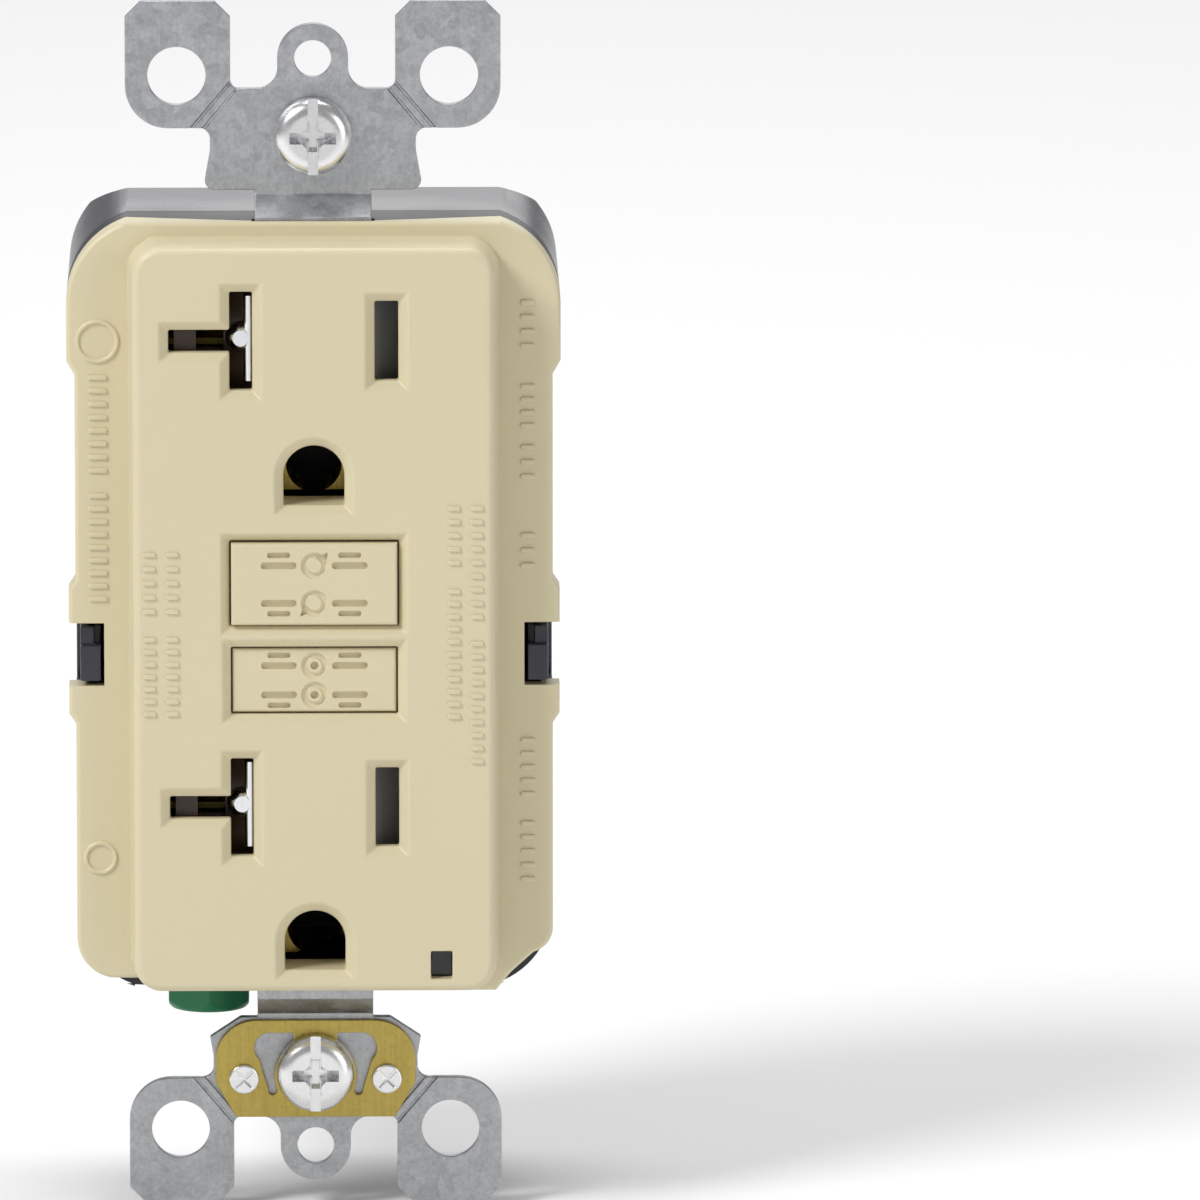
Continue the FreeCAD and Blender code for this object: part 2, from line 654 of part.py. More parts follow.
def mount_screw(sign):
    """A mounting screw, with a thinner neck where the strap and the washer hold it."""
    screw = pan_screw(3.42, 2.0, SCREW_R, 19.0)
    front = -STRAP_T - 0.1 if sign > 0 else -STRAP_T - CLIP_T - 0.1
    neck = (0.0, THREAD_START_Y - front)
    groove = rod("y", (0, 0), SCREW_R + 0.2, neck).cut(rod("y", (0, 0), NECK_R, (-1, 5)))
    screw = screw.cut(groove)
    screw.translate(V(0, front, sign * SCREW_Z))
    return screw


def mount_washer(sign):
    """The fibre washer that keeps a mounting screw from falling out of its slot."""
    washer = rod("y", (0, sign * SCREW_Z), 3.7, (0.1, 0.9))
    return washer.cut(rod("y", (0, sign * SCREW_Z), SCREW_R + 0.05, (-1, 2)))


def ground_screw():
    """The green hex-head screw that points down out of the ground wire bay."""
    x, y = GROUND_SCREW
    top = -33.3
    hexagon = []
    for step in range(7):
        angle = math.radians(60 * step + 30)
        hexagon.append(V(x + 4.1 * math.cos(angle), y + 4.1 * math.sin(angle), -36.9))
    head = Part.Face(Part.makePolygon(hexagon)).extrude(V(0, 0, 2.7))
    cone = Part.makeCone(3.3, 5.0, 1.9, V(x, y, -36.9), V(0, 0, 1))
    cone = cone.fuse(rod("z", (x, y), 5.0, (-35.0, -34.0)))
    head = head.common(cone)
    flange = rod("z", (x, y), 4.2, (-34.25, top))
    shank = rod("z", (x, y), 2.05, (top - 0.1, -25.2))
    slot = box((x - 5, x + 5), (y - 0.6, y + 0.6), (-37.0, -35.9))
    return fuse(head, flange, shank).cut(slot)


def ground_clamp():
    x, y = GROUND_SCREW
    plate = box((x - 3.9, x + 3.9), (y - 3.6, y + 3.9), (-29.2, -28.0))
    return plate.cut(rod("z", (x, y), 2.12, (-30, -27)))


def ground_contact(z):
    """A sprung socket for a ground pin, riveted behind the strap."""
    rear = STRAP_IN_Y + STRAP_T
    low = z - 2.25
    plate = box((-3.6, 3.6), (rear, rear + 0.6), (low, z + 3.9))
    socket = rod("y", (0, z), 3.0, (rear, 4.0)).cut(box((-4, 4), (-5, 5), (z - 4, low)))
    bore = rod("y", (0, z), 2.45, (-5, 6))
    shape = fuse(plate, socket).cut(bore)
    for angle in (45, 135):
        split = box((-5, 5), (rear + 1.2, 6), (-0.3, 0.3))
        split.rotate(V(0, 0, 0), V(0, 1, 0), angle)
        split.translate(V(0, 0, z))
        shape = shape.cut(split)
    return shape


# ---- buttons ----------------------------------------------------------------------------------
def button(half, z, front):
    """A push button: a softened block with a retaining flange behind the face."""
    block = box((-half[0], half[0]), (front, BUTTON_REAR_Y), (z - half[1], z + half[1]))
    block = block.makeFillet(0.3, edges_at(block, front))
    flange = box(
        (-half[0] - 0.7, half[0] + 0.7),
        (BUTTON_REAR_Y - 1.0, BUTTON_REAR_Y),
        (z - half[1] - 0.45, z + half[1] + 0.45),
    )
    return fuse(block, flange)


def reset_button():
    return button(RESET_HALF, RESET_Z, FACE_Y)


def reset_pin():
    """The steel pin behind the reset button, with the groove that the latch plate catches."""
    pin = rod("y", (0, RESET_Z), STEM_R, (BUTTON_REAR_Y, RESET_TIP_Y))
    pin = pin.makeChamfer(0.4, edges_at(pin, RESET_TIP_Y))
    groove = rod("y", (0, RESET_Z), 2.0, (RESET_TIP_Y - 1.6, RESET_TIP_Y - 0.8))
    groove = groove.cut(rod("y", (0, RESET_Z), 0.8, (0, 20)))
    return pin.cut(groove)


def test_button():
    """The test button, in one piece with the peg that pushes the test leaf."""
    peg = rod("y", (0, TEST_Z), STEM_R, (BUTTON_REAR_Y - 0.2, TEST_TIP_Y))
    return fuse(button(TEST_HALF, TEST_Z, TEST_FRONT_Y), peg)


def button_spring(z):
    return coil("y", (0, z), 2.2, 0.4, (BUTTON_REAR_Y + 0.05, TRAY_FLOOR_Y[0] - 0.05), 9)


# ---- shutters ---------------------------------------------------------------------------------
def shutter_block(z):
    """A right-hand shutter: a ramp behind the blade slot, a window beside it and an end bar."""
    block = box((4.4, 12.2), SHUTTER_Y, (z - 4.9, z + 4.9))
    window = box((7.9, 10.25), (-8, -4), (z - 4.0, z + 4.0))
    points = [V(5.0, SHUTTER_Y[0] - 1, z - 6), V(8.2, SHUTTER_Y[0] - 1, z - 6),
              V(8.2, -5.5, z - 6), V(7.2, -5.75, z - 6), V(6.0, -6.35, z - 6),
              V(5.0, SHUTTER_Y[0], z - 6)]
    ramp = Part.Face(Part.makePolygon(points + points[:1])).extrude(V(0, 0, 12))
    ramp = ramp.common(box((0, 20), (-10, 0), (z - 4.4, z + 4.4)))
    return cut(block, window, ramp)


def shutter_hot(z):
    nick = box((7.3, 7.95), (-8, -4), (z - 1.1, z + 0.9))
    return shutter_block(z).cut(nick)


def neutral_clip(z):
    """The polished steel edge on the neutral shutter, with a domed nose at its middle."""
    bar = box((-6.15, -5.05), (-7.2, -6.0), (z - 3.75, z + 3.75))
    front = [e for e in edges_at(bar, -7.2) if e.BoundBox.ZLength > 2]
    bar = bar.makeFillet(0.5, front)
    nose = Part.makeSphere(1.35, V(-6.35, -6.05, z))
    nose = nose.common(box((-8, -5.05), (-7.2, -5.5), (z - 2, z + 2)))
    return fuse(bar, nose)


def shutter_neutral(z):
    return mirrored(shutter_block(z)).cut(neutral_clip(z))


def shutter_spring(z):
    return coil("x", (-6.2, z), 0.85, 0.3, (-4.35, 4.35), 7)


def shutter_frame(z):
    """The platform that carries both shutters, with windows for the blades."""
    plate = box((-14.2, 14.2), FRAME_Y, (z - 6.2, z + 6.2))
    plate = plate.cut(box((5.1, 7.6), (-6, -3), (z - 4.0, z + 4.0)))
    plate = plate.cut(box((-7.6, -5.1), (-6, -3), (z - 4.6, z + 4.6)))
    plate = plate.cut(box((-13.0, -7.0), (-6, -3), (z - 1.2, z + 1.2)))
    rails = [
        box((-14.2, 14.2), (-7.4, FRAME_Y[0]), (z + 5.2, z + 6.2)),
        box((-14.2, 14.2), (-7.4, FRAME_Y[0]), (z - 6.2, z - 5.2)),
    ]
    return fuse(plate, *rails)


# ---- contacts and terminals ---------------------------------------------------------------------
def blade_socket(z):
    """Two sprung leaves that grip an upright blade, joined above it, right-hand side."""
    leaf = 0.55
    gap = 0.75
    y = (-1.8, 6.0)
    inner = box((BLADE_X - gap - leaf, BLADE_X - gap), y, (z - 3.9, z + 4.5))
    outer = box((BLADE_X + gap, BLADE_X + gap + leaf), y, (z - 3.9, z + 4.5))
    bridge = box((BLADE_X - gap - leaf, BLADE_X + gap + leaf), (1.0, 6.0), (z + 3.9, z + 4.5))
    return fuse(inner, outer, bridge)


def contact_strip(side):
    """The brass strip that feeds both outlets on one side and ends in the load terminal."""
    y = (5.2, 6.0)
    pieces = [box((7.6, 9.6), y, (-20.5, 28.6))]
    pieces.append(box((9.5, 12.7), y, (3.2, 7.8)))
    pieces.append(box((9.5, TERMINAL_X[1]), y, (TERMINAL_Z - 2.8, TERMINAL_Z + 2.8)))
    pieces.append(rod("y", (CONTACT_X, CONTACT_Z), CONTACT_R, (5.5, 10.7)))
    for z in OUTLETS.values():
        pieces.append(blade_socket(z))
    pieces.append(terminal_plate(1, 1))
    strip = fuse(pieces[0], *pieces[1:])
    if side > 0:
        return strip
    strip = mirrored(strip)
    for z in OUTLETS.values():
        strip = strip.cut(box((-7.8, -7.0), (-3, 5.0), (z - 1.6, z + 1.6)))
        leaves = [
            box((-13.7, -7.9), (-1.8, 6.0), (z + 0.8, z + 1.35)),
            box((-13.7, -7.9), (-1.8, 6.0), (z - 1.35, z - 0.8)),
            box((-13.7, -13.15), (-1.8, 6.0), (z - 1.35, z + 1.35)),
        ]
        strip = fuse(strip, *leaves)
    return strip


def terminal_plate(side, sign):
    """The plate that a wire is clamped to. Load plates rise to the strip, line plates feed the arm."""
    z = sign * TERMINAL_Z
    plate = box(TERMINAL_X, (10.6, 18.8), (z - 6.8, z + 6.8))
    if sign > 0:
        plate = fuse(plate, box(TERMINAL_X, (6.0, 10.7), (z - 2.8, z + 2.8)))
    else:
        riser = box(TERMINAL_X, (16.0, 19.4), (-12.0, -8.4))
        foot = box((12.5, TERMINAL_X[1]), (18.6, 19.4), (-10.4, -8.4))
        plate = fuse(plate, riser, foot)
    plate = plate.cut(rod("x", (TERMINAL_Y, z), 2.25, (15, 19)))
    return plate if side > 0 else mirrored(plate)


def wire_clamp(side, sign):
    """The tapped pressure plate that pulls a wire against its terminal."""
    z = sign * TERMINAL_Z
    plate = box(CLAMP_X, (10.7, 18.2), (z - 6.4, z + 6.4))
    for edge in (10.7, 17.2):
        lip = box((CLAMP_X[1], CLAMP_X[1] + 0.5), (edge, edge + 1.0), (z - 1.6, z + 1.6))
        plate = plate.fuse(lip)
    plate = plate.cut(rod("x", (TERMINAL_Y, z), 2.12, (11, 15))).removeSplitter()
    return plate if side > 0 else mirrored(plate)


def terminal_screw(side, sign):
    screw = pan_screw(3.95, 2.3, 2.05, 6.4)
    screw.rotate(V(0, 0, 0), V(0, 0, 1), 90)
    screw.translate(V(TERMINAL_X[1] + 0.1, TERMINAL_Y, sign * TERMINAL_Z))
    return screw if side > 0 else mirrored(screw)


# ---- the trip mechanism ---------------------------------------------------------------------------
def circuit_board():
    board = box((-11.0, 11.0), BOARD_Y, (-30.2, 30.8))
    for x in (-9.6, 9.6):
        for z in (-27.0, 27.0):
            board = board.cut(rod("y", (x, z), 0.8, (19, 22)))
    return board


def latch_block():
    """The sliding block that lifts both contact arms when the latch holds the pin."""
    block = box((-4.4, 4.4), (12.4, 17.4), (RESET_Z - 3.5, RESET_Z + 3.5))
    wings = box((-12.6, 12.6), (12.9, 14.3), (RESET_Z - 0.5, RESET_Z + 1.0))
    block = fuse(block, wings)
    block = block.cut(rod("y", (0, RESET_Z), 1.6, (10, 20)))
    return block.cut(box((-2.8, 2.8), (14.75, 15.65), (-5, 10)))


def latch_plate():
    """The thin plate that slides in the block and catches the groove of the pin."""
    plate = box((-2.6, 2.6), (14.9, 15.5), (-0.9, 7.4))
    keyhole = fuse(
        rod("y", (0, RESET_Z), 1.45, (13, 17)),
        box((-1.45, 1.45), (13, 17), (RESET_Z - 1.3, RESET_Z)),
        rod("y", (0, RESET_Z - 1.3), 1.45, (13, 17)),
    )
    return plate.cut(keyhole)


def contact_arm(side):
    """A springy arm that carries the moving silver contact."""
    arm = box((9.6, 12.4), (12.2, 12.8), (-8.0, 7.2))
    point = rod("y", (CONTACT_X, CONTACT_Z), CONTACT_R, (11.8, 12.3))
    arm = fuse(arm, point)
    return arm if side > 0 else mirrored(arm)


def board_posts():
    """Brass posts on the board: two for the contact arms, one for the test leaf, two line bars."""
    arm_post = box((9.6, 12.4), (11.9, BOARD_Y[0]), (-9.3, -8.4))
    arm_post = arm_post.cut(box((11.05, 13), (BOARD_Y[0] - 2, 22), (-10, -8)))
    line_bar = box((0.5, 1.9), (10.6, BOARD_Y[0]), (-20.8, -18.4))
    leaf_post = box((8.1, 8.9), (10.9, BOARD_Y[0]), (TEST_Z - 1.0, TEST_Z + 1.0))
    return Part.makeCompound([
        arm_post, mirrored(arm_post), leaf_post, line_bar, mirrored(line_bar)])


def test_leaf():
    return box((-1.6, 7.9), (TEST_TIP_Y + 0.1, TEST_TIP_Y + 0.4), (TEST_Z - 1.0, TEST_Z + 1.0))


def solenoid_bobbin():
    """The spool of the trip coil, along Z."""
    tube = rod("z", (0, SOLENOID_Y), 2.3, (12.5, 25.9))
    ends = [rod("z", (0, SOLENOID_Y), 4.5, (12.5, 13.3)), rod("z", (0, SOLENOID_Y), 4.5, (25.1, 25.9))]
    return fuse(tube, *ends).cut(rod("z", (0, SOLENOID_Y), 1.9, (10, 30)))


def solenoid_coil():
    winding = rod("z", (0, SOLENOID_Y), 4.2, (13.35, 25.05))
    return winding.cut(rod("z", (0, SOLENOID_Y), 2.35, (10, 30)))


def solenoid_frame():
    """The steel yoke round the coil."""
    y = (SOLENOID_Y - 3.6, SOLENOID_Y + 3.6)
    lower = box((-6.3, 4.6), y, (11.6, 12.4))
    upper = box((-6.3, 4.6), y, (26.0, 26.8))
    side = box((-6.3, -5.4), y, (11.6, 26.8))
    return fuse(lower, upper, side).cut(rod("z", (0, SOLENOID_Y), 2.0, (11, 12.5)))


def plunger():
    stem = rod("z", (0, SOLENOID_Y), 1.7, (8.0, 22.5))
    collar = rod("z", (0, SOLENOID_Y), 2.9, (7.6, 8.3))
    return fuse(stem, collar)


def plunger_spring():
    return coil("z", (0, SOLENOID_Y), 2.4, 0.35, (8.35, 11.55), 3)


def transformer_housing():
    """The cup that holds the two sensing cores, with the line wires through its middle."""
    spot = (0, -19.6)
    cup = rod("y", spot, 8.4, (10.5, 19.9))
    cup = cup.cut(rod("y", spot, 7.7, (10, 19.0)))
    sleeve = rod("y", spot, 3.9, (10.5, 19.9))
    return fuse(cup, sleeve).cut(rod("y", spot, 3.2, (10, 21)))


def sensing_cores():
    cores = []
    for y in ((11.0, 14.6), (15.1, 18.7)):
        ring = rod("y", (0, -19.6), 7.4, y)
        ring = ring.cut(rod("y", (0, -19.6), 4.2, (10, 20)))
        cores.append(ring)
    return Part.makeCompound(cores)


def board_components():
    """The control chip, capacitor, surge disc, two diodes and four resistors on the board."""
    can = rod("y", (-4.6, -5.6), 2.7, (13.4, BOARD_Y[0]))
    can = can.makeFillet(0.4, edges_at(can, 13.4))
    disc = rod("x", (16.3, -5.6), 3.2, (3.9, 6.1))
    disc = fuse(disc, box((4.4, 5.6), (18.0, BOARD_Y[0]), (-7.4, -3.8)))
    pieces = [can, disc, box((-3.2, 3.2), (18.2, BOARD_Y[0]), (27.8, 30.2))]
    for z in (14.0, 20.0):
        pieces.append(rod("z", (8.2, 18.9), 1.05, (z, z + 4.2)))
    for x in (-9.8, -7.6):
        for z in (13.0, 20.5):
            pieces.append(rod("z", (x, 19.1), 0.85, (z, z + 4.0)))
    return Part.makeCompound(pieces)


def status_led():
    x, z = LED
    body = rod("y", LED, 1.45, (16.0, BOARD_Y[0]))
    return fuse(body, Part.makeSphere(1.45, V(x, 16.0, z)))


def light_pipe():
    """The clear bar that carries the indicator's light to the window in the face."""
    shaft = box((PIPE[0] - 0.85, PIPE[0] + 0.85), (-8.1, 12.0), (PIPE[1] - 1.1, PIPE[1] + 1.1))
    foot = box((7.9, PIPE[0] + 0.85), (11.2, 13.6), (PIPE[1] - 1.1, -28.0))
    return fuse(shaft, foot)


def assembly_screws():
    """Four screws that hold the back body, the separator and the cover together."""
    screws = []
    for sx in (-1, 1):
        for sz in (-1, 1):
            spot = (sx * BOSS_X, sz * BOSS_Z)
            seat = BODY_REAR_Y - 2.15
            head = rod("y", spot, 2.4, (seat, seat + 1.5))
            head = head.makeFillet(0.5, edges_at(head, seat + 1.5))
            shank = rod("y", spot, 1.15, (FLANGE_Y + 0.9, seat + 0.1))
            screw = fuse(head, shank)
            for angle in (0, 90):
                mark = box((-1.4, 1.4), (seat + 0.6, seat + 2), (-0.3, 0.3))
                mark.rotate(V(0, 0, 0), V(0, 1, 0), angle)
                mark.translate(V(spot[0], 0, spot[1]))
                screw = screw.cut(mark)
            screws.append(screw)
    return Part.makeCompound(screws)


# ---- all the pieces -------------------------------------------------------------------------------
def all_pieces():
    pieces = {
        "front_cover": front_cover(),
        "separator": separator(),
        "back_body": back_body(),
        "assembly_screws": assembly_screws(),
        "mounting_strap": mounting_strap(),
        "ground_clip_plate": ground_clip_plate(),
        "clip_rivets": clip_rivets(),
        "ground_screw": ground_screw(),
        "ground_clamp": ground_clamp(),
        "reset_button": reset_button(),
        "reset_pin": reset_pin(),
        "reset_spring": button_spring(RESET_Z),
        "test_button": test_button(),
        "test_spring": button_spring(TEST_Z),
        "test_leaf": test_leaf(),
        "circuit_board": circuit_board(),
        "board_posts": board_posts(),
        "latch_block": latch_block(),
        "latch_plate": latch_plate(),
        "solenoid_bobbin": solenoid_bobbin(),
        "solenoid_coil": solenoid_coil(),
        "solenoid_frame": solenoid_frame(),
        "plunger": plunger(),
        "plunger_spring": plunger_spring(),
        "transformer_housing": transformer_housing(),
        "sensing_cores": sensing_cores(),
        "board_components": board_components(),
        "status_led": status_led(),
        "light_pipe": light_pipe(),
    }
    for end, sign in (("top", 1), ("bottom", -1)):
        pieces["mount_screw_" + end] = mount_screw(sign)
        pieces["mount_washer_" + end] = mount_washer(sign)
    for name, z in OUTLETS.items():
        pieces[name + "_ground_contact"] = ground_contact(z - GROUND_DROP)
        pieces[name + "_shutter_hot"] = shutter_hot(z)
        pieces[name + "_shutter_neutral"] = shutter_neutral(z)
        pieces[name + "_neutral_clip"] = neutral_clip(z)
        pieces[name + "_shutter_spring"] = shutter_spring(z)
        pieces[name + "_shutter_frame"] = shutter_frame(z)
    for pole, side in (("hot", 1), ("neutral", -1)):
        pieces[pole + "_contact_strip"] = contact_strip(side)
        pieces[pole + "_contact_arm"] = contact_arm(side)
        for feed, sign in (("load", 1), ("line", -1)):
            name = feed + "_" + pole
            if feed == "line":
                pieces[name + "_terminal"] = terminal_plate(side, sign)
            pieces[name + "_clamp"] = wire_clamp(side, sign)
            pieces[name + "_screw"] = terminal_screw(side, sign)
    return pieces


os.makedirs("parts", exist_ok=True)
for node, shape in all_pieces().items():
    shape.exportStep("parts/" + node + ".step")
    solids = len(shape.Solids)
    print(f"{node}: {solids} solid(s), {shape.Volume:.1f} mm3, valid {shape.isValid()}")
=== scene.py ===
import json
import math

import bmesh
import bpy
from mathutils import Matrix, Vector


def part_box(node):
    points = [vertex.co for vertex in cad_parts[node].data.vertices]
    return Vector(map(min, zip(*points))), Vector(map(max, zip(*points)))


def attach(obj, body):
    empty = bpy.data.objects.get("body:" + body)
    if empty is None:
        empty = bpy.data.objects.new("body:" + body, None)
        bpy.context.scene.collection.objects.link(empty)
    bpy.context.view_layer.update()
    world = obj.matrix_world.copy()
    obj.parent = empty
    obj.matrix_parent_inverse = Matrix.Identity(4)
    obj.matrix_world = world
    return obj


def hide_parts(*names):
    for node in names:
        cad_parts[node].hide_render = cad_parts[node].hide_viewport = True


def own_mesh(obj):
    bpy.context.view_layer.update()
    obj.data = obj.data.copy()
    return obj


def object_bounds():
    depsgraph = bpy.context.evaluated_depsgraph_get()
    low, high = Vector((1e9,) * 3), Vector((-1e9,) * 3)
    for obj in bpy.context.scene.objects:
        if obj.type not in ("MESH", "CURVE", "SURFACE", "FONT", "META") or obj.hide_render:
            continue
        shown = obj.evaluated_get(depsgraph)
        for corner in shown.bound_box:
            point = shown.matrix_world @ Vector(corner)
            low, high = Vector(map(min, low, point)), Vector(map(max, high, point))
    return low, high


bl_info = {
    "name": "Ground Fault Outlet",
    "version": (1, 0, 0),
    "blender": (4, 5, 0),
    "location": "View3D > Sidebar > Outlet",
    "description": "Finishes, rounded pieces and a studio for a duplex ground fault outlet",
    "category": "Object",
}

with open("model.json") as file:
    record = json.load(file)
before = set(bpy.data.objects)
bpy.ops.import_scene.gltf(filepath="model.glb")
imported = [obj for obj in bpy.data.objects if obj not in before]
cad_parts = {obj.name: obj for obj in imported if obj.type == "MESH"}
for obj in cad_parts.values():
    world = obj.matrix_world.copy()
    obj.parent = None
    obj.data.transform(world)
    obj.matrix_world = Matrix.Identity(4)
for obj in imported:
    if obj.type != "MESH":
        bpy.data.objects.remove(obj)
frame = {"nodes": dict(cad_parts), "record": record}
CAD_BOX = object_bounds()
MM = 0.001
SLOT_OF = {part["node"]: part["material_slot"] for part in frame["record"]["subparts"]}
BODY_OF = {
    node: body
    for body, nodes in frame["record"]["behaviour"]["bodies"].items()
    for node in nodes
}
OUTLETS = ("upper", "lower")
# Each spring: the joint that presses it, its axis, its seat along that axis, and its moving ends.
SPRINGS = (
    ("reset_spring", "reset_press", 1, 1.0, 1),
    ("test_spring", "test_press", 1, 1.0, 1),
    ("plunger_spring", "plunger_pull", 2, 1.0, 1),
    ("upper_shutter_spring", "upper_hot_shutter_slide", 0, 0.5, 2),
    ("lower_shutter_spring", "lower_hot_shutter_slide", 0, 0.5, 2),
)
VIEW_WIDTH = 105.4 * MM
VIEW_CENTRE = (25.1 * MM, 0.2 * MM)
THREAD_DEPTH = 0.26 * MM
FINISH = "finish_"      # the loaded frame already has plain materials named after the slots


# ---- what a user would change ------------------------------------------------------------------
def length(name, text, default):
    return bpy.props.FloatProperty(
        name=name, description=text, default=default * MM, min=0, precision=5,
        subtype="DISTANCE", unit="LENGTH")


def colour(name, text, default):
    return bpy.props.FloatVectorProperty(
        name=name, description=text, default=default, min=0, max=1, size=3, subtype="COLOR")


class OutletSizes(bpy.types.PropertyGroup):
    cover_round: length("Cover edge", "Rounding of the ivory cover's edges", 0.16)
    metal_round: length("Sheet edge", "Rounding of punched sheet metal edges", 0.1)
    engraving: length("Engraving", "Depth of the marks in the buttons", 0.38)
    relief: length("Relief", "Height of the raised ribs on the cover", 0.2)
    rib_pitch: length("Rib pitch", "Distance from one raised rib to the next", 1.15)
    machine_pitch: length("Thread pitch", "Pitch of the machine screws", 0.794)
    camera_distance: bpy.props.FloatProperty(
        name="Camera distance", description="Camera to outlet", default=1.5, unit="LENGTH")
    camera_height: bpy.props.FloatProperty(
        name="Camera height", description="Angle above the horizon",
        default=math.radians(10), subtype="ANGLE")


class OutletColours(bpy.types.PropertyGroup):
    ivory: colour("Ivory", "Cover and buttons", (0.665, 0.595, 0.40))
    dark: colour("Case", "Back body and separator", (0.026, 0.027, 0.040))
    zinc: colour("Zinc", "Galvanised strap", (0.47, 0.48, 0.50))
    brass: colour("Brass", "Clip plate and line terminals", (0.50, 0.385, 0.105))
    green: colour("Green", "Ground screw", (0.004, 0.165, 0.06))
    floor: colour("Floor", "Studio floor", (0.9, 0.9, 0.9))


def sizes():
    """The scene's own sizes, as a user would set them."""
    return bpy.context.scene.outlet_sizes


def colours():
    """The scene's own colours, as a user would set them."""
    return bpy.context.scene.outlet_colours


# ---- working in object and edit mode -----------------------------------------------------------
def only(*pieces):
    """Selects these pieces and nothing else, with the first one active."""
    if bpy.context.object and bpy.context.object.mode != "OBJECT":
        bpy.ops.object.mode_set(mode="OBJECT")
    bpy.ops.object.select_all(action="DESELECT")
    for piece in pieces:
        piece.select_set(True)
    bpy.context.view_layer.objects.active = pieces[0]


def fresh():
    """Leaves nothing selected, before a primitive is added."""
    if bpy.context.object and bpy.context.object.mode != "OBJECT":
        bpy.ops.object.mode_set(mode="OBJECT")
    bpy.ops.object.select_all(action="DESELECT")


def select(piece, element, wanted):
    """Enters edit mode with just the faces, edges or vertices that the test wants."""
    only(piece)
    bpy.ops.object.mode_set(mode="EDIT")
    bpy.ops.mesh.select_mode(type=element)
    bpy.ops.mesh.select_all(action="DESELECT")
    mesh = bmesh.from_edit_mesh(piece.data)
    items = {"VERT": mesh.verts, "EDGE": mesh.edges, "FACE": mesh.faces}[element]
    for item in items:
        item.select_set(wanted(item))
    mesh.select_flush_mode()
    bmesh.update_edit_mesh(piece.data)


def apply_place(piece):
    only(piece)
    bpy.ops.object.transform_apply(location=True, rotation=True, scale=True)


def apply_modifier(piece, kind, **settings):
    only(piece)
    modifier = piece.modifiers.new(kind.title(), kind)
    for name, value in settings.items():
        setattr(modifier, name, value)
    bpy.ops.object.modifier_apply(modifier=modifier.name)


def smooth(piece, angle=35):
    """Smooth shading between shallow edges, with large faces kept flat."""
    only(piece)
    bpy.ops.object.shade_smooth_by_angle(angle=math.radians(angle))
    apply_modifier(piece, "WEIGHTED_NORMAL", keep_sharp=True, weight=100)


def join(name, pieces):
    """Joins the pieces into the first one, under this name."""
    only(*pieces)
    bpy.ops.object.join()
    pieces[0].name = name
    pieces[0].data.name = name
    return pieces[0]


def cut(piece, tool):
    """Cuts the tool's shape out of the piece, and removes the tool."""
    apply_modifier(
        piece, "BOOLEAN", operation="DIFFERENCE", solver="EXACT", use_self=True, object=tool)
    bpy.data.objects.remove(tool)


def hand_over(piece, body, slot, *nodes):
    """Gives a finished piece its body and the finish of its slot, and hides the CAD nodes it stands
    for.
    """
    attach(piece, body)
    if nodes:
        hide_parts(*nodes)
    piece.data.materials.clear()
    piece.data.materials.append(finish(slot))
    return piece


def merged(node):
    """A CAD node's shape as one joined mesh, without its triangle edges on flat faces."""
    piece = frame["nodes"][node].copy()
    piece.data = piece.data.copy()
    for key in list(piece.keys()):
        del piece[key]
    piece.parent = None
    piece.name = node + "_rounded"
    piece.data.name = piece.name
    bpy.context.scene.collection.objects.link(piece)
    only(piece)
    bpy.ops.mesh.customdata_custom_splitnormals_clear()
    bpy.ops.object.mode_set(mode="EDIT")
    bpy.ops.mesh.select_all(action="SELECT")
    bpy.ops.mesh.remove_doubles(threshold=0.002 * MM)
    bpy.ops.mesh.dissolve_limited(angle_limit=math.radians(0.6))
    bpy.ops.object.mode_set(mode="OBJECT")
    return piece


def softened(node, width, segments=2, angle=30, where=None):
    """A CAD node's shape with its sharp edges rounded, everywhere or where the test wants."""
    piece = merged(node)

    def sharp(edge):
        if len(edge.link_faces) != 2 or edge.calc_face_angle(0) < math.radians(angle):
            return False
        return where is None or all(where(vertex.co) for vertex in edge.verts)

    select(piece, "EDGE", sharp)
    bpy.ops.mesh.bevel(offset=width, segments=segments, clamp_overlap=False, loop_slide=False)
    bpy.ops.object.mode_set(mode="OBJECT")
    smooth(piece)
    return hand_over(piece, BODY_OF[node], SLOT_OF[node], node)


# ---- node groups -------------------------------------------------------------------------------
def new_group(name, inputs, outputs):
    tree = bpy.data.node_groups.new(name, "ShaderNodeTree")
    kinds = {"Colour": "NodeSocketColor"}
    for label, default in inputs:
        socket = tree.interface.new_socket(
            label, in_out="INPUT", socket_type=kinds.get(label, "NodeSocketFloat"))
        socket.default_value = default
    for label in outputs:
        tree.interface.new_socket(
            label, in_out="OUTPUT", socket_type=kinds.get(label, "NodeSocketFloat"))
    start = tree.nodes.new("NodeGroupInput")
    end = tree.nodes.new("NodeGroupOutput")
    return tree, start, end


def add(tree, kind, **settings):
    node = tree.nodes.new("ShaderNode" + kind)
    for name, value in settings.items():
        setattr(node, name, value)
    return node


def feed(tree, node, **values):
    """Connects or sets a node's inputs, which are named with underscores for spaces."""
    for name, value in values.items():
        socket = node.inputs[name.replace("_", " ")]
        if isinstance(value, bpy.types.NodeSocket):
            tree.links.new(value, socket)
        else:
            socket.default_value = value
    return node


def maths(tree, operation, first, second):
    node = add(tree, "Math", operation=operation)
    for index, value in enumerate((first, second)):
        if isinstance(value, bpy.types.NodeSocket):
            tree.links.new(value, node.inputs[index])
        else:
            node.inputs[index].default_value = value
    return node.outputs[0]


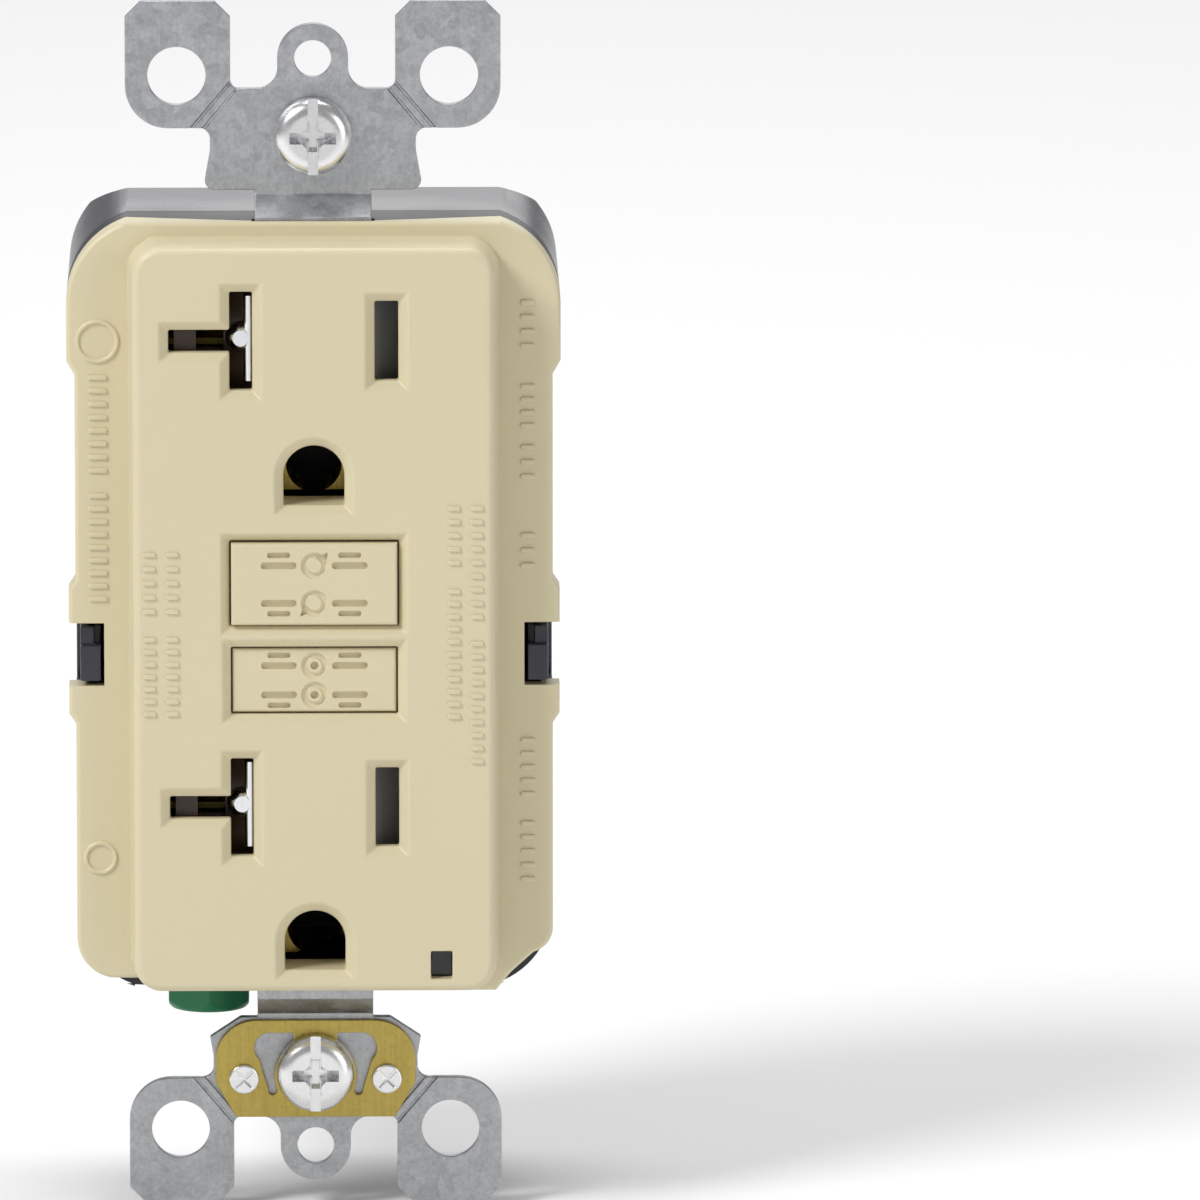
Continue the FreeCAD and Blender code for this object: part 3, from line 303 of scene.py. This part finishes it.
def spread(tree, value, low, high):
    """Turns a mask from 0 to 1 into a value from low to high."""
    node = add(tree, "MapRange")
    feed(tree, node, Value=value, To_Min=low, To_Max=high)
    return node.outputs[0]


def shaded(tree, base, factor):
    """The base colour, made lighter or darker by a factor."""
    node = add(tree, "HueSaturation")
    feed(tree, node, Color=base, Value=factor)
    return node.outputs[0]


def grain_group():
    """Moulded plastic: slow changes of tone and a fine texture from the mould."""
    inputs = (("Colour", (1, 1, 1, 1)), ("Scale", 5200.0), ("Tone", 0.03), ("Roughness", 0.4))
    tree, start, end = new_group("Moulded Grain", inputs, ("Colour", "Roughness", "Height"))
    place = add(tree, "TexCoord").outputs["Object"]
    slow = feed(tree, add(tree, "TexNoise"), Vector=place, Scale=55.0, Detail=3.0)
    fine = feed(tree, add(tree, "TexNoise"), Vector=place, Scale=start.outputs["Scale"],
                Detail=2.0)
    swing = maths(tree, "SUBTRACT", slow.outputs[0], 0.5)
    factor = maths(tree, "ADD", 1.0, maths(tree, "MULTIPLY", swing, start.outputs["Tone"]))
    rough = maths(tree, "ADD", start.outputs["Roughness"],
                  maths(tree, "MULTIPLY", swing, 0.25))
    tree.links.new(shaded(tree, start.outputs["Colour"], factor), end.inputs["Colour"])
    tree.links.new(rough, end.inputs["Roughness"])
    tree.links.new(fine.outputs[0], end.inputs["Height"])
    return tree


def spangle_group():
    """Coated or rolled sheet: crystal patches, small dark flecks and rolling streaks."""
    inputs = (("Colour", (1, 1, 1, 1)), ("Scale", 900.0), ("Contrast", 0.2),
              ("Streaks", 0.1), ("Roughness", 0.35))
    tree, start, end = new_group("Rolled Sheet", inputs, ("Colour", "Roughness", "Height"))
    place = add(tree, "TexCoord").outputs["Object"]
    warp = feed(tree, add(tree, "TexNoise"), Vector=place, Scale=420.0, Detail=2.0)
    shift = add(tree, "VectorMath", operation="SCALE")
    feed(tree, shift, Vector=warp.outputs["Color"], Scale=0.0011)
    moved = add(tree, "VectorMath", operation="ADD")
    tree.links.new(place, moved.inputs[0])
    tree.links.new(shift.outputs[0], moved.inputs[1])
    cells = feed(tree, add(tree, "TexVoronoi"), Vector=moved.outputs[0],
                 Scale=start.outputs["Scale"])
    patch = add(tree, "SeparateColor")
    tree.links.new(cells.outputs["Color"], patch.inputs[0])
    flecks = feed(tree, add(tree, "TexNoise"), Vector=place, Scale=2600.0, Detail=6.0,
                  Roughness=0.72)
    stretch = add(tree, "Mapping")
    feed(tree, stretch, Vector=place, Scale=(4200.0, 4200.0, 60.0))
    streak = feed(tree, add(tree, "TexNoise"), Vector=stretch.outputs[0], Scale=1.0, Detail=2.0)
    swing = maths(tree, "SUBTRACT", patch.outputs[0], 0.5)
    speckle = maths(tree, "SUBTRACT", flecks.outputs[0], 0.5)
    both = maths(tree, "ADD", maths(tree, "MULTIPLY", swing, start.outputs["Contrast"]),
                 maths(tree, "MULTIPLY", speckle, maths(
                     tree, "MULTIPLY", start.outputs["Contrast"], 5.0)))
    lines = maths(tree, "MULTIPLY", maths(tree, "SUBTRACT", streak.outputs[0], 0.5),
                  start.outputs["Streaks"])
    factor = maths(tree, "ADD", maths(tree, "ADD", both, lines), 1.0)
    rough = maths(tree, "ADD", start.outputs["Roughness"],
                  maths(tree, "MULTIPLY", swing, maths(
                      tree, "MULTIPLY", start.outputs["Contrast"], 0.7)))
    height = maths(tree, "ADD", flecks.outputs[0], maths(tree, "MULTIPLY", streak.outputs[0], 0.5))
    tree.links.new(shaded(tree, start.outputs["Colour"], factor), end.inputs["Colour"])
    tree.links.new(rough, end.inputs["Roughness"])
    tree.links.new(height, end.inputs["Height"])
    return tree


def group(name):
    makers = {"Moulded Grain": grain_group, "Rolled Sheet": spangle_group}
    return bpy.data.node_groups.get(name) or makers[name]()


# ---- finishes ----------------------------------------------------------------------------------
def surface(slot, pattern, base, bump, values, fixed):
    """A material whose pattern group feeds a Principled shader with fixed plain values."""
    material = bpy.data.materials.new(FINISH + slot)
    material.use_nodes = True
    tree = material.node_tree
    shader = tree.nodes["Principled BSDF"]
    for name, value in fixed.items():
        shader.inputs[name].default_value = value
    effect = tree.nodes.new("ShaderNodeGroup")
    effect.node_tree = group(pattern)
    effect.inputs["Colour"].default_value = (*base, 1)
    for name, value in values.items():
        effect.inputs[name].default_value = value
    relief = add(tree, "Bump")
    feed(tree, relief, Strength=bump, Distance=0.02 * MM, Height=effect.outputs["Height"])
    tree.links.new(effect.outputs["Colour"], shader.inputs["Base Color"])
    tree.links.new(effect.outputs["Roughness"], shader.inputs["Roughness"])
    tree.links.new(relief.outputs[0], shader.inputs["Normal"])
    return material


def plastic(slot, base, roughness, tone=0.05, bump=0.25, **fixed):
    values = {"Tone": tone, "Roughness": roughness}
    return surface(slot, "Moulded Grain", base, bump, values, fixed)


def sheet_metal(slot, base, roughness, contrast=0.12, streaks=0.1, scale=900.0, bump=0.3):
    values = {"Contrast": contrast, "Streaks": streaks, "Scale": scale, "Roughness": roughness}
    return surface(slot, "Rolled Sheet", base, bump, values, {"Metallic": 1.0})


def finish(slot):
    """The material for one of the record's slots, made the first time it is asked for."""
    known = bpy.data.materials.get(FINISH + slot)
    if known:
        return known
    shades = colours()
    ivory, dark, zinc = tuple(shades.ivory), tuple(shades.dark), tuple(shades.zinc)
    brass, green = tuple(shades.brass), tuple(shades.green)
    if slot == "ivory_plastic":
        return plastic(slot, ivory, 0.42, 0.04, 0.22)
    if slot == "dark_plastic":
        return plastic(slot, dark, 0.27, 0.12, 0.2)
    # A darker copy of the case plastic for the separator: painted shade for the black line in the
    # joint between cover and back body.
    if slot == "separator_painted_shade":
        return plastic(slot, (0.012, 0.012, 0.016), 0.42, 0.12, 0.3)
    # A lighter grey copy of the shutter plastic for the hot ramps: painted sheen, set against the
    # shade deep in the slot.
    if slot == "ramp_painted_sheen":
        return plastic(slot, (0.17, 0.17, 0.168), 0.34, 0.2, 0.4)
    if slot == "black_plastic":
        return plastic(slot, (0.012, 0.012, 0.013), 0.45)
    # Warm brown-black shutter plastic: a painted reflection of the brass contacts behind the slots.
    if slot == "shutter_plastic":
        return plastic(slot, (0.038, 0.02, 0.011), 0.4, 0.2, 0.4)
    if slot == "fibre":
        return plastic(slot, (0.22, 0.075, 0.045), 0.75, 0.35, 1.0)
    if slot == "circuit_board":
        return plastic(slot, (0.012, 0.11, 0.035), 0.35, 0.2)
    if slot == "component_black":
        return plastic(slot, (0.02, 0.02, 0.022), 0.5, 0.2)
    # Near-black for the clear light pipe and the lamp: painted shade for the dark inside of the
    # indicator window.
    if slot == "clear_plastic":
        clear = {"Transmission Weight": 0.2}
        return plastic(slot, (0.02, 0.02, 0.024), 0.14, 0.0, 0.05, **clear)
    if slot == "zinc_steel":
        return sheet_metal(slot, zinc, 0.46, 0.17, 0.1, 1100.0, 0.6)
    if slot == "screw_steel":
        return sheet_metal(slot, (0.84, 0.84, 0.85), 0.27, 0.04, 0.05, 1500.0, 0.12)
    if slot == "polished_steel":
        return sheet_metal(slot, (0.8, 0.81, 0.83), 0.16, 0.04, 0.08, 900.0, 0.08)
    if slot == "clamp_steel":
        return sheet_metal(slot, (0.6, 0.6, 0.6), 0.36, 0.1, 0.12)
    if slot == "spring_steel":
        return sheet_metal(slot, (0.5, 0.5, 0.51), 0.3, 0.06, 0.0)
    if slot == "brass":
        return sheet_metal(slot, brass, 0.4, 0.1, 0.35, 700.0, 0.4)
    if slot == "brass_screw":
        return sheet_metal(slot, (0.66, 0.5, 0.2), 0.26, 0.06, 0.05)
    if slot == "copper_wire":
        return sheet_metal(slot, (0.72, 0.28, 0.12), 0.28, 0.1, 0.25)
    if slot == "green_screw":
        return plastic(slot, green, 0.4, 0.3, 0.3)
    raise ValueError("no finish for " + slot)


# ---- small shapes ------------------------------------------------------------------------------
def bar(centre, size, corner, top):
    """A bar with round corners seen from the front and a softened front edge. Sizes are full."""
    fresh()
    bpy.ops.mesh.primitive_cube_add(size=1, location=centre, scale=size)
    piece = bpy.context.object
    apply_place(piece)
    select(
        piece, "EDGE", lambda edge: abs(edge.verts[0].co.y - edge.verts[1].co.y) > size[1] / 2)
    bpy.ops.mesh.bevel(offset=corner, segments=4)
    front = min(vertex.co.y for vertex in piece.data.vertices)
    if top:
        select(piece, "FACE", lambda face: all(abs(v.co.y - front) < 1e-7 for v in face.verts))
        bpy.ops.mesh.bevel(offset=top, segments=3)
    bpy.ops.object.mode_set(mode="OBJECT")
    return piece


def ring(centre, radius, wire):
    """A round ring that faces -Y."""
    fresh()
    bpy.ops.mesh.primitive_torus_add(
        location=centre, rotation=(math.pi / 2, 0, 0), major_radius=radius, minor_radius=wire,
        major_segments=40, minor_segments=10)
    piece = bpy.context.object
    apply_place(piece)
    return piece


def dot(centre, radius, depth, corners=32, turn=0.0):
    """A rod along Y, or a prism with a few corners."""
    fresh()
    bpy.ops.mesh.primitive_cylinder_add(
        vertices=corners, radius=radius, depth=depth, location=centre,
        rotation=(math.pi / 2, turn, 0))
    piece = bpy.context.object
    apply_place(piece)
    return piece


def thread(name, radius, depth, pitch, turns):
    """A raised thread along +Z from the origin: a triangle swept along a screw and closed."""
    fresh()
    bpy.ops.mesh.primitive_circle_add(vertices=3, radius=depth, rotation=(math.pi / 2, 0, 0))
    piece = bpy.context.object
    piece.name = name
    apply_place(piece)
    only(piece)
    bpy.ops.object.mode_set(mode="EDIT")
    bpy.ops.mesh.select_all(action="SELECT")
    bpy.ops.transform.rotate(
        value=math.pi / 2, orient_axis="Y", center_override=(0, 0, 0))
    bpy.ops.transform.resize(value=(1.0, 1.0, 0.45 * pitch / depth))
    bpy.ops.transform.translate(value=(radius, 0, 0))
    bpy.ops.object.mode_set(mode="OBJECT")
    apply_modifier(
        piece, "SCREW", axis="Z", angle=2 * math.pi, screw_offset=pitch, iterations=turns,
        steps=28, render_steps=28, use_merge_vertices=False)
    only(piece)
    bpy.ops.object.mode_set(mode="EDIT")
    bpy.ops.mesh.select_all(action="SELECT")
    bpy.ops.mesh.fill_holes(sides=3)
    bpy.ops.mesh.select_all(action="SELECT")
    bpy.ops.mesh.normals_make_consistent(inside=False)
    bpy.ops.object.mode_set(mode="OBJECT")
    return piece


def wedge(length, width, tip_length, tip_width, depth):
    """A tool that narrows towards +Y, with its wide end just in front of the origin."""
    fresh()
    bpy.ops.mesh.primitive_cube_add(
        size=1, location=(0, depth / 2, 0), scale=(length, depth, width))
    piece = bpy.context.object
    apply_place(piece)
    select(piece, "FACE", lambda face: face.normal.y > 0.9)
    bpy.ops.transform.resize(
        value=(tip_length / length, 1, tip_width / width), center_override=(0, depth, 0))
    bpy.ops.object.mode_set(mode="OBJECT")
    return piece


def pan_head(radius, height):
    """A pan head that faces -Y, its underside at the origin, with a combination recess."""
    fresh()
    bpy.ops.mesh.primitive_cylinder_add(
        vertices=72, radius=radius, depth=height, location=(0, -height / 2, 0),
        rotation=(math.pi / 2, 0, 0))
    head = bpy.context.object
    apply_place(head)
    select(head, "FACE", lambda face: face.normal.y < -0.9)
    bpy.ops.mesh.bevel(offset=0.72 * height, segments=9, profile=0.55)
    bpy.ops.object.mode_set(mode="OBJECT")
    rim = 0.3 * radius
    cross = [
        wedge(2 * 0.6 * radius, rim, 0.6 * radius, 0.6 * rim, 0.9 * height),
        wedge(rim, 2 * 0.5 * radius, 0.6 * rim, 0.6 * radius, 0.9 * height),
        wedge(0.6 * radius, 0.6 * radius, 0.2 * radius, 0.2 * radius, 0.95 * height),
    ]
    only(cross[2])
    bpy.ops.object.mode_set(mode="EDIT")
    bpy.ops.mesh.select_all(action="SELECT")
    bpy.ops.transform.rotate(value=math.pi / 4, orient_axis="Y", center_override=(0, 0, 0))
    bpy.ops.object.mode_set(mode="OBJECT")
    slot_size = (0.27 * radius, 0.8 * height, 2.4 * radius)
    slot = bar((0, 0.1 * height, 0), slot_size, 0.05 * radius, 0)
    for tool in (*cross, slot):
        tool.data.transform(Matrix.Translation((0, -1.002 * height, 0)))
    for tool in cross:
        cut(head, tool)
    cut(head, slot)
    return head


def machine_screw(node, facing, radius, height, shank, neck):
    """A pan-head machine screw in a CAD screw's place: head, neck, core and raised thread."""
    low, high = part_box(node)
    along = {"-Y": high.y - low.y, "+X": high.x - low.x, "-X": high.x - low.x}[facing]
    reach = along - height
    head = pan_head(radius, height)
    fresh()
    bpy.ops.mesh.primitive_cylinder_add(
        vertices=40, radius=shank - THREAD_DEPTH, depth=reach + 0.2 * MM,
        location=(0, reach / 2 - 0.1 * MM, 0), rotation=(math.pi / 2, 0, 0))
    core = bpy.context.object
    apply_place(core)
    select(core, "FACE", lambda face: face.normal.y > 0.9)
    bpy.ops.mesh.bevel(offset=0.35 * MM, segments=2)
    bpy.ops.object.mode_set(mode="OBJECT")
    pitch = sizes().machine_pitch
    turns = int((reach - neck - 1.2 * pitch) / pitch)
    ridge = thread("ridge", shank - THREAD_DEPTH, THREAD_DEPTH, pitch, turns)
    ridge.data.transform(
        Matrix.Translation((0, neck + 0.5 * pitch, 0)) @ Matrix.Rotation(-math.pi / 2, 4, "X"))
    screw = join(node + "_threaded", [head, core, ridge])
    middle = (low + high) / 2
    turn = {"-Y": 0, "+X": math.pi / 2, "-X": -math.pi / 2}[facing]
    place = {
        "-Y": (middle.x, low.y + height, middle.z),
        "+X": (high.x - height, middle.y, middle.z),
        "-X": (low.x + height, middle.y, middle.z),
    }[facing]
    screw.data.transform(Matrix.Translation(place) @ Matrix.Rotation(turn, 4, "Z"))
    smooth(screw, 32)
    return hand_over(screw, BODY_OF[node], SLOT_OF[node], node)


# ---- operators ---------------------------------------------------------------------------------
class OUTLET_OT_finishes(bpy.types.Operator):
    """Gives every part that keeps its own shape the finish of its slot"""
    bl_idname = "outlet.finishes"
    bl_label = "Finishes"

    def execute(self, context):
        for node, part in frame["nodes"].items():
            part.data.materials.clear()
            part.data.materials.append(finish(SLOT_OF[node]))
        return {"FINISHED"}


class OUTLET_OT_case(bpy.types.Operator):
    """Rounds the edges of the cover, the separator and the back body, and gives the separator a darker
    copy of the case plastic as painted shade in the joint
    """
    bl_idname = "outlet.case"
    bl_label = "Case"

    def execute(self, context):
        half_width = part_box("reset_button")[1].x + 7.0 * MM
        softened("front_cover", sizes().cover_round, 3, 30, lambda co: abs(co.x) < half_width)
        separator = softened("separator", 0.12 * MM)
        # The separator gets the darker copy of the case plastic: painted shade in the joint between
        # cover and back body.
        separator.data.materials[0] = finish("separator_painted_shade")
        softened("back_body", 0.15 * MM)
        return {"FINISHED"}


class OUTLET_OT_shutters(bpy.types.Operator):
    """Rounds the shutters; the hot side's ramps get a lighter grey copy of the shutter plastic as
    painted sheen, and the neutral ones keep the brown shutter plastic, a painted reflection of the
    brass inside
    """
    bl_idname = "outlet.shutters"
    bl_label = "Shutters"

    def execute(self, context):
        for outlet in OUTLETS:
            ramp = softened(outlet + "_shutter_hot", 0.08 * MM)
            # The hot ramps get the lighter grey copy of the shutter plastic: painted sheen.
            ramp.data.materials[0] = finish("ramp_painted_sheen")
            softened(outlet + "_shutter_neutral", 0.08 * MM)
        return {"FINISHED"}


class OUTLET_OT_relief(bpy.types.Operator):
    """Adds the raised ribs and rings along the cover's flange and face"""
    bl_idname = "outlet.relief"
    bl_label = "Cover Relief"

    def execute(self, context):
        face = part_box("front_cover")[0].y
        flange = face + 5.2 * MM
        height = sizes().relief
        pieces = []
        # Each row of ribs, in millimetres: its x, its lowest and highest z, a rib's length; the level.
        rows = (
            (-18.9, 0.6, 10.9, 1.7, flange), (-18.9, 12.0, 21.4, 1.7, flange),
            (18.7, 22.9, 28.0, 1.25, flange), (18.7, 15.9, 20.5, 1.25, flange),
            (18.7, 11.3, 15.2, 1.25, flange), (18.7, 3.4, 7.4, 1.25, flange),
            (18.7, -16.9, -10.9, 1.25, flange), (18.7, -24.5, -18.3, 1.25, flange),
            (-14.4, 0.3, 6.6, 1.15, face), (-14.4, -8.7, -1.0, 1.15, face),
            (-12.4, 0.3, 6.6, 1.15, face), (-12.4, -8.7, -1.0, 1.15, face),
            (14.2, -0.2, 10.6, 1.15, face), (14.2, -13.0, -1.4, 1.15, face),
            (12.2, 4.6, 10.6, 1.15, face), (12.2, -9.0, 3.2, 1.15, face))
        for x, low, high, reach, level in rows:
            count = max(2, round((high - low) * MM / sizes().rib_pitch))
            for index in range(count):
                z = low + (high - low) * (index + 0.5) / count
                centre = Vector((x * MM, level, z * MM))
                size = (reach * MM, 2 * height, 0.42 * MM)
                pieces.append(bar(centre, size, 0.18 * MM, 0.07 * MM))
        # Each ring, in millimetres: its x, its z and its radius.
        rings = ((-18.9, 24.0, 1.75), (-18.8, -21.9, 1.3))
        for x, z, radius in rings:
            centre = Vector((x * MM, flange, z * MM))
            pieces.append(ring(centre, radius * MM, 1.1 * height))
        relief = join("cover_relief", pieces)
        smooth(relief)
        hand_over(relief, "case", "ivory_plastic")
        return {"FINISHED"}


class OUTLET_OT_buttons(bpy.types.Operator):
    """Models both push buttons, each with its engraved marks upright and upside down"""
    bl_idname = "outlet.buttons"
    bl_label = "Buttons"

    def marks(self, centre, front, row, kind):
        """One engraved row: a sign in the middle, and a groove on each side of it."""
        depth = sizes().engraving
        up = 1 if row > 0 else -1
        middle = Vector((centre.x, front, centre.z + row))
        tools = [ring(middle, 0.9 * MM, 0.75 * depth)]
        if kind == "reset":
            angle = math.radians(40 if up > 0 else 220)
            tip = middle + Vector((math.cos(angle), 0, math.sin(angle))) * 1.02 * MM
            tools.append(dot(tip, 0.66 * MM, 2 * depth, 3, angle))
        else:
            tools.append(dot(middle, 0.36 * MM, 2 * depth))
        for side in (-1, 1):
            place = middle + Vector((side * 3.1 * MM, 0, 0))
            tools.append(bar(place, (3.1 * MM, 2 * depth, 0.62 * MM), 0.26 * MM, 0))
            nearer = place + Vector((0, 0, 0.92 * MM * up))
            tools.append(bar(nearer, (2.0 * MM, 2 * depth, 0.5 * MM), 0.21 * MM, 0))
        return tools

    def execute(self, context):
        flange_x, flange_z, flange_y = 0.7 * MM, 0.45 * MM, 1.0 * MM
        cap_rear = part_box("reset_button")[1].y
        pin_low, pin_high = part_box("reset_pin")
        for kind in ("reset", "test"):
            node = kind + "_button"
            low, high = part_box(node)
            centre = (low + high) / 2
            rear = cap_rear - flange_y
            half = Vector((high.x - flange_x - centre.x, 0, (high.z - low.z) / 2 - flange_z))
            fresh()
            bpy.ops.mesh.primitive_cube_add(
                size=1, location=(centre.x, (low.y + rear) / 2, centre.z),
                scale=(2 * half.x, rear - low.y, 2 * half.z))
            piece = bpy.context.object
            apply_place(piece)
            select(piece, "FACE", lambda face: face.normal.y < -0.9)
            bpy.ops.mesh.bevel(offset=0.28 * MM, segments=4)
            bpy.ops.object.mode_set(mode="OBJECT")
            tools = []
            quarter = half.z * 0.46
            for row in (quarter, -quarter):
                tools += self.marks(centre, low.y, row, kind)
            cut(piece, join(kind + "_marks", tools))
            skirt = bar(
                Vector((centre.x, rear + flange_y / 2, centre.z)),
                (2 * (half.x + flange_x), flange_y, 2 * (half.z + flange_z)), 0.5 * MM, 0.15 * MM)
            solids = [piece, skirt]
            if high.y > cap_rear + MM:
                start = cap_rear - 0.2 * MM
                place = Vector((centre.x, (start + high.y) / 2, centre.z))
                solids.append(dot(place, (pin_high.x - pin_low.x) / 2, high.y - start))
            piece = join(kind + "_button_marked", solids)
            smooth(piece, 30)
            hand_over(piece, BODY_OF[node], SLOT_OF[node], node)
        return {"FINISHED"}


class OUTLET_OT_springs(bpy.types.Operator):
    """Lets each spring shorten as the pieces that press on it move"""
    # Gives each spring a merged, smoothly shaded copy of its CAD shape on a mesh of its own
    bl_idname = "outlet.springs"
    bl_label = "Springs"

    def execute(self, context):
        for node, joint, axis, seat, moving_ends in SPRINGS:
            spring = merged(node)
            smooth(spring)
            hand_over(spring, BODY_OF[node], SLOT_OF[node], node)
            direction = Vector((0, 0, 0))
            direction[axis] = 1
            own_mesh(spring)
        return {"FINISHED"}


class OUTLET_OT_strap(bpy.types.Operator):
    """Rounds the punched edges of the strap, the brass clip plate and its rivets"""
    bl_idname = "outlet.strap"
    bl_label = "Mounting Strap"

    def execute(self, context):
        softened("mounting_strap", sizes().metal_round)
        softened("ground_clip_plate", sizes().metal_round)
        softened("clip_rivets", 0.05 * MM)
        return {"FINISHED"}


class OUTLET_OT_screws(bpy.types.Operator):
    """Models the machine screws with threads, and rounds the other screws"""
    bl_idname = "outlet.screws"
    bl_label = "Screws"

    def execute(self, context):
        for end in ("top", "bottom"):
            machine_screw("mount_screw_" + end, "-Y", 3.42 * MM, 2.0 * MM, 1.75 * MM, 2.4 * MM)
        for side, facing in (("hot", "+X"), ("neutral", "-X")):
            for end in ("line", "load"):
                node = end + "_" + side + "_screw"
                machine_screw(node, facing, 3.95 * MM, 2.3 * MM, 2.05 * MM, 0.2 * MM)
        softened("ground_screw", 0.14 * MM)
        softened("assembly_screws", 0.06 * MM)
        return {"FINISHED"}


class OUTLET_OT_stage(bpy.types.Operator):
    """Sets up the floor, the lights, the pale surroundings and the camera"""
    bl_idname = "outlet.stage"
    bl_label = "Studio"

    def light(self, name, place, size, power, aim=(0, 0, 0)):
        lamp = bpy.data.lights.new(name, "AREA")
        lamp.energy = power
        lamp.shape = "DISK"
        lamp.size = size
        holder = bpy.data.objects.new(name, lamp)
        holder.location = place
        holder.rotation_euler = (Vector(aim) - Vector(place)).to_track_quat("-Z", "Y").to_euler()
        bpy.context.scene.collection.objects.link(holder)

    def execute(self, context):
        low = CAD_BOX[0]
        fresh()
        bpy.ops.mesh.primitive_plane_add(size=10, location=(0, 0, low[2] - 0.4 * MM))
        floor = bpy.context.object
        floor.name = "studio_floor"
        apply_place(floor)
        select(floor, "FACE", lambda face: True)
        bpy.ops.mesh.subdivide(number_cuts=3)
        bpy.ops.object.mode_set(mode="OBJECT")
        floor.data.materials.append(plastic("studio_pale", tuple(colours().floor), 0.8, 0.0, 0.0))
        self.light("key", (-0.75, -0.6, 0.85), 0.45, 10.5)
        self.light("fill", (0.8, -0.75, 0.25), 0.7, 2.2)
        self.light("backdrop", (0.05, 0.35, 0.95), 0.7, 6, (0.05, 0.6, 0.0))
        self.light("rim", (0.1, 1.5, 0.5), 0.9, 2.2)
        scene = context.scene
        scene.world = bpy.data.worlds.new("studio")
        scene.world.use_nodes = True
        tree = scene.world.node_tree
        sky = tree.nodes["Background"]
        sky.inputs["Color"].default_value = (1, 1, 1, 1)
        seen = add(tree, "LightPath").outputs["Is Camera Ray"]
        tree.links.new(spread(tree, seen, 0.3, 1.0), sky.inputs["Strength"])
        scene.view_settings.view_transform = "Standard"
        camera = bpy.data.cameras.new("camera")
        distance, height = sizes().camera_distance, sizes().camera_height
        camera.lens = camera.sensor_width * distance / VIEW_WIDTH
        camera.clip_end = 20
        holder = bpy.data.objects.new("camera", camera)
        holder.location = (0, -distance * math.cos(height), distance * math.sin(height))
        aim = Vector((VIEW_CENTRE[0], 0, VIEW_CENTRE[1]))
        holder.rotation_euler = (aim - holder.location).to_track_quat("-Z", "Y").to_euler()
        scene.collection.objects.link(holder)
        scene.camera = holder
        return {"FINISHED"}


OPERATORS = (
    OUTLET_OT_finishes,
    OUTLET_OT_case,
    OUTLET_OT_shutters,
    OUTLET_OT_relief,
    OUTLET_OT_buttons,
    OUTLET_OT_springs,
    OUTLET_OT_strap,
    OUTLET_OT_screws,
    OUTLET_OT_stage,
)


class OUTLET_PT_panel(bpy.types.Panel):
    """Lists the sizes, the colours and the steps that build the outlet"""
    bl_idname = "OUTLET_PT_panel"
    bl_label = "Ground Fault Outlet"
    bl_space_type = "VIEW_3D"
    bl_region_type = "UI"
    bl_category = "Outlet"

    def draw(self, context):
        for values in (context.scene.outlet_sizes, context.scene.outlet_colours):
            column = self.layout.column()
            for name in values.__annotations__:
                column.prop(values, name)
        for step in OPERATORS:
            self.layout.operator(step.bl_idname)


CLASSES = (OutletSizes, OutletColours, *OPERATORS, OUTLET_PT_panel)


def register():
    for each in CLASSES:
        bpy.utils.register_class(each)
    bpy.types.Scene.outlet_sizes = bpy.props.PointerProperty(type=OutletSizes)
    bpy.types.Scene.outlet_colours = bpy.props.PointerProperty(type=OutletColours)


def unregister():
    del bpy.types.Scene.outlet_colours
    del bpy.types.Scene.outlet_sizes
    for each in reversed(CLASSES):
        bpy.utils.unregister_class(each)


def main():
    register()
    for step in OPERATORS:
        package, name = step.bl_idname.split(".")
        getattr(getattr(bpy.ops, package), name)()


if __name__ == "__main__":
    main()
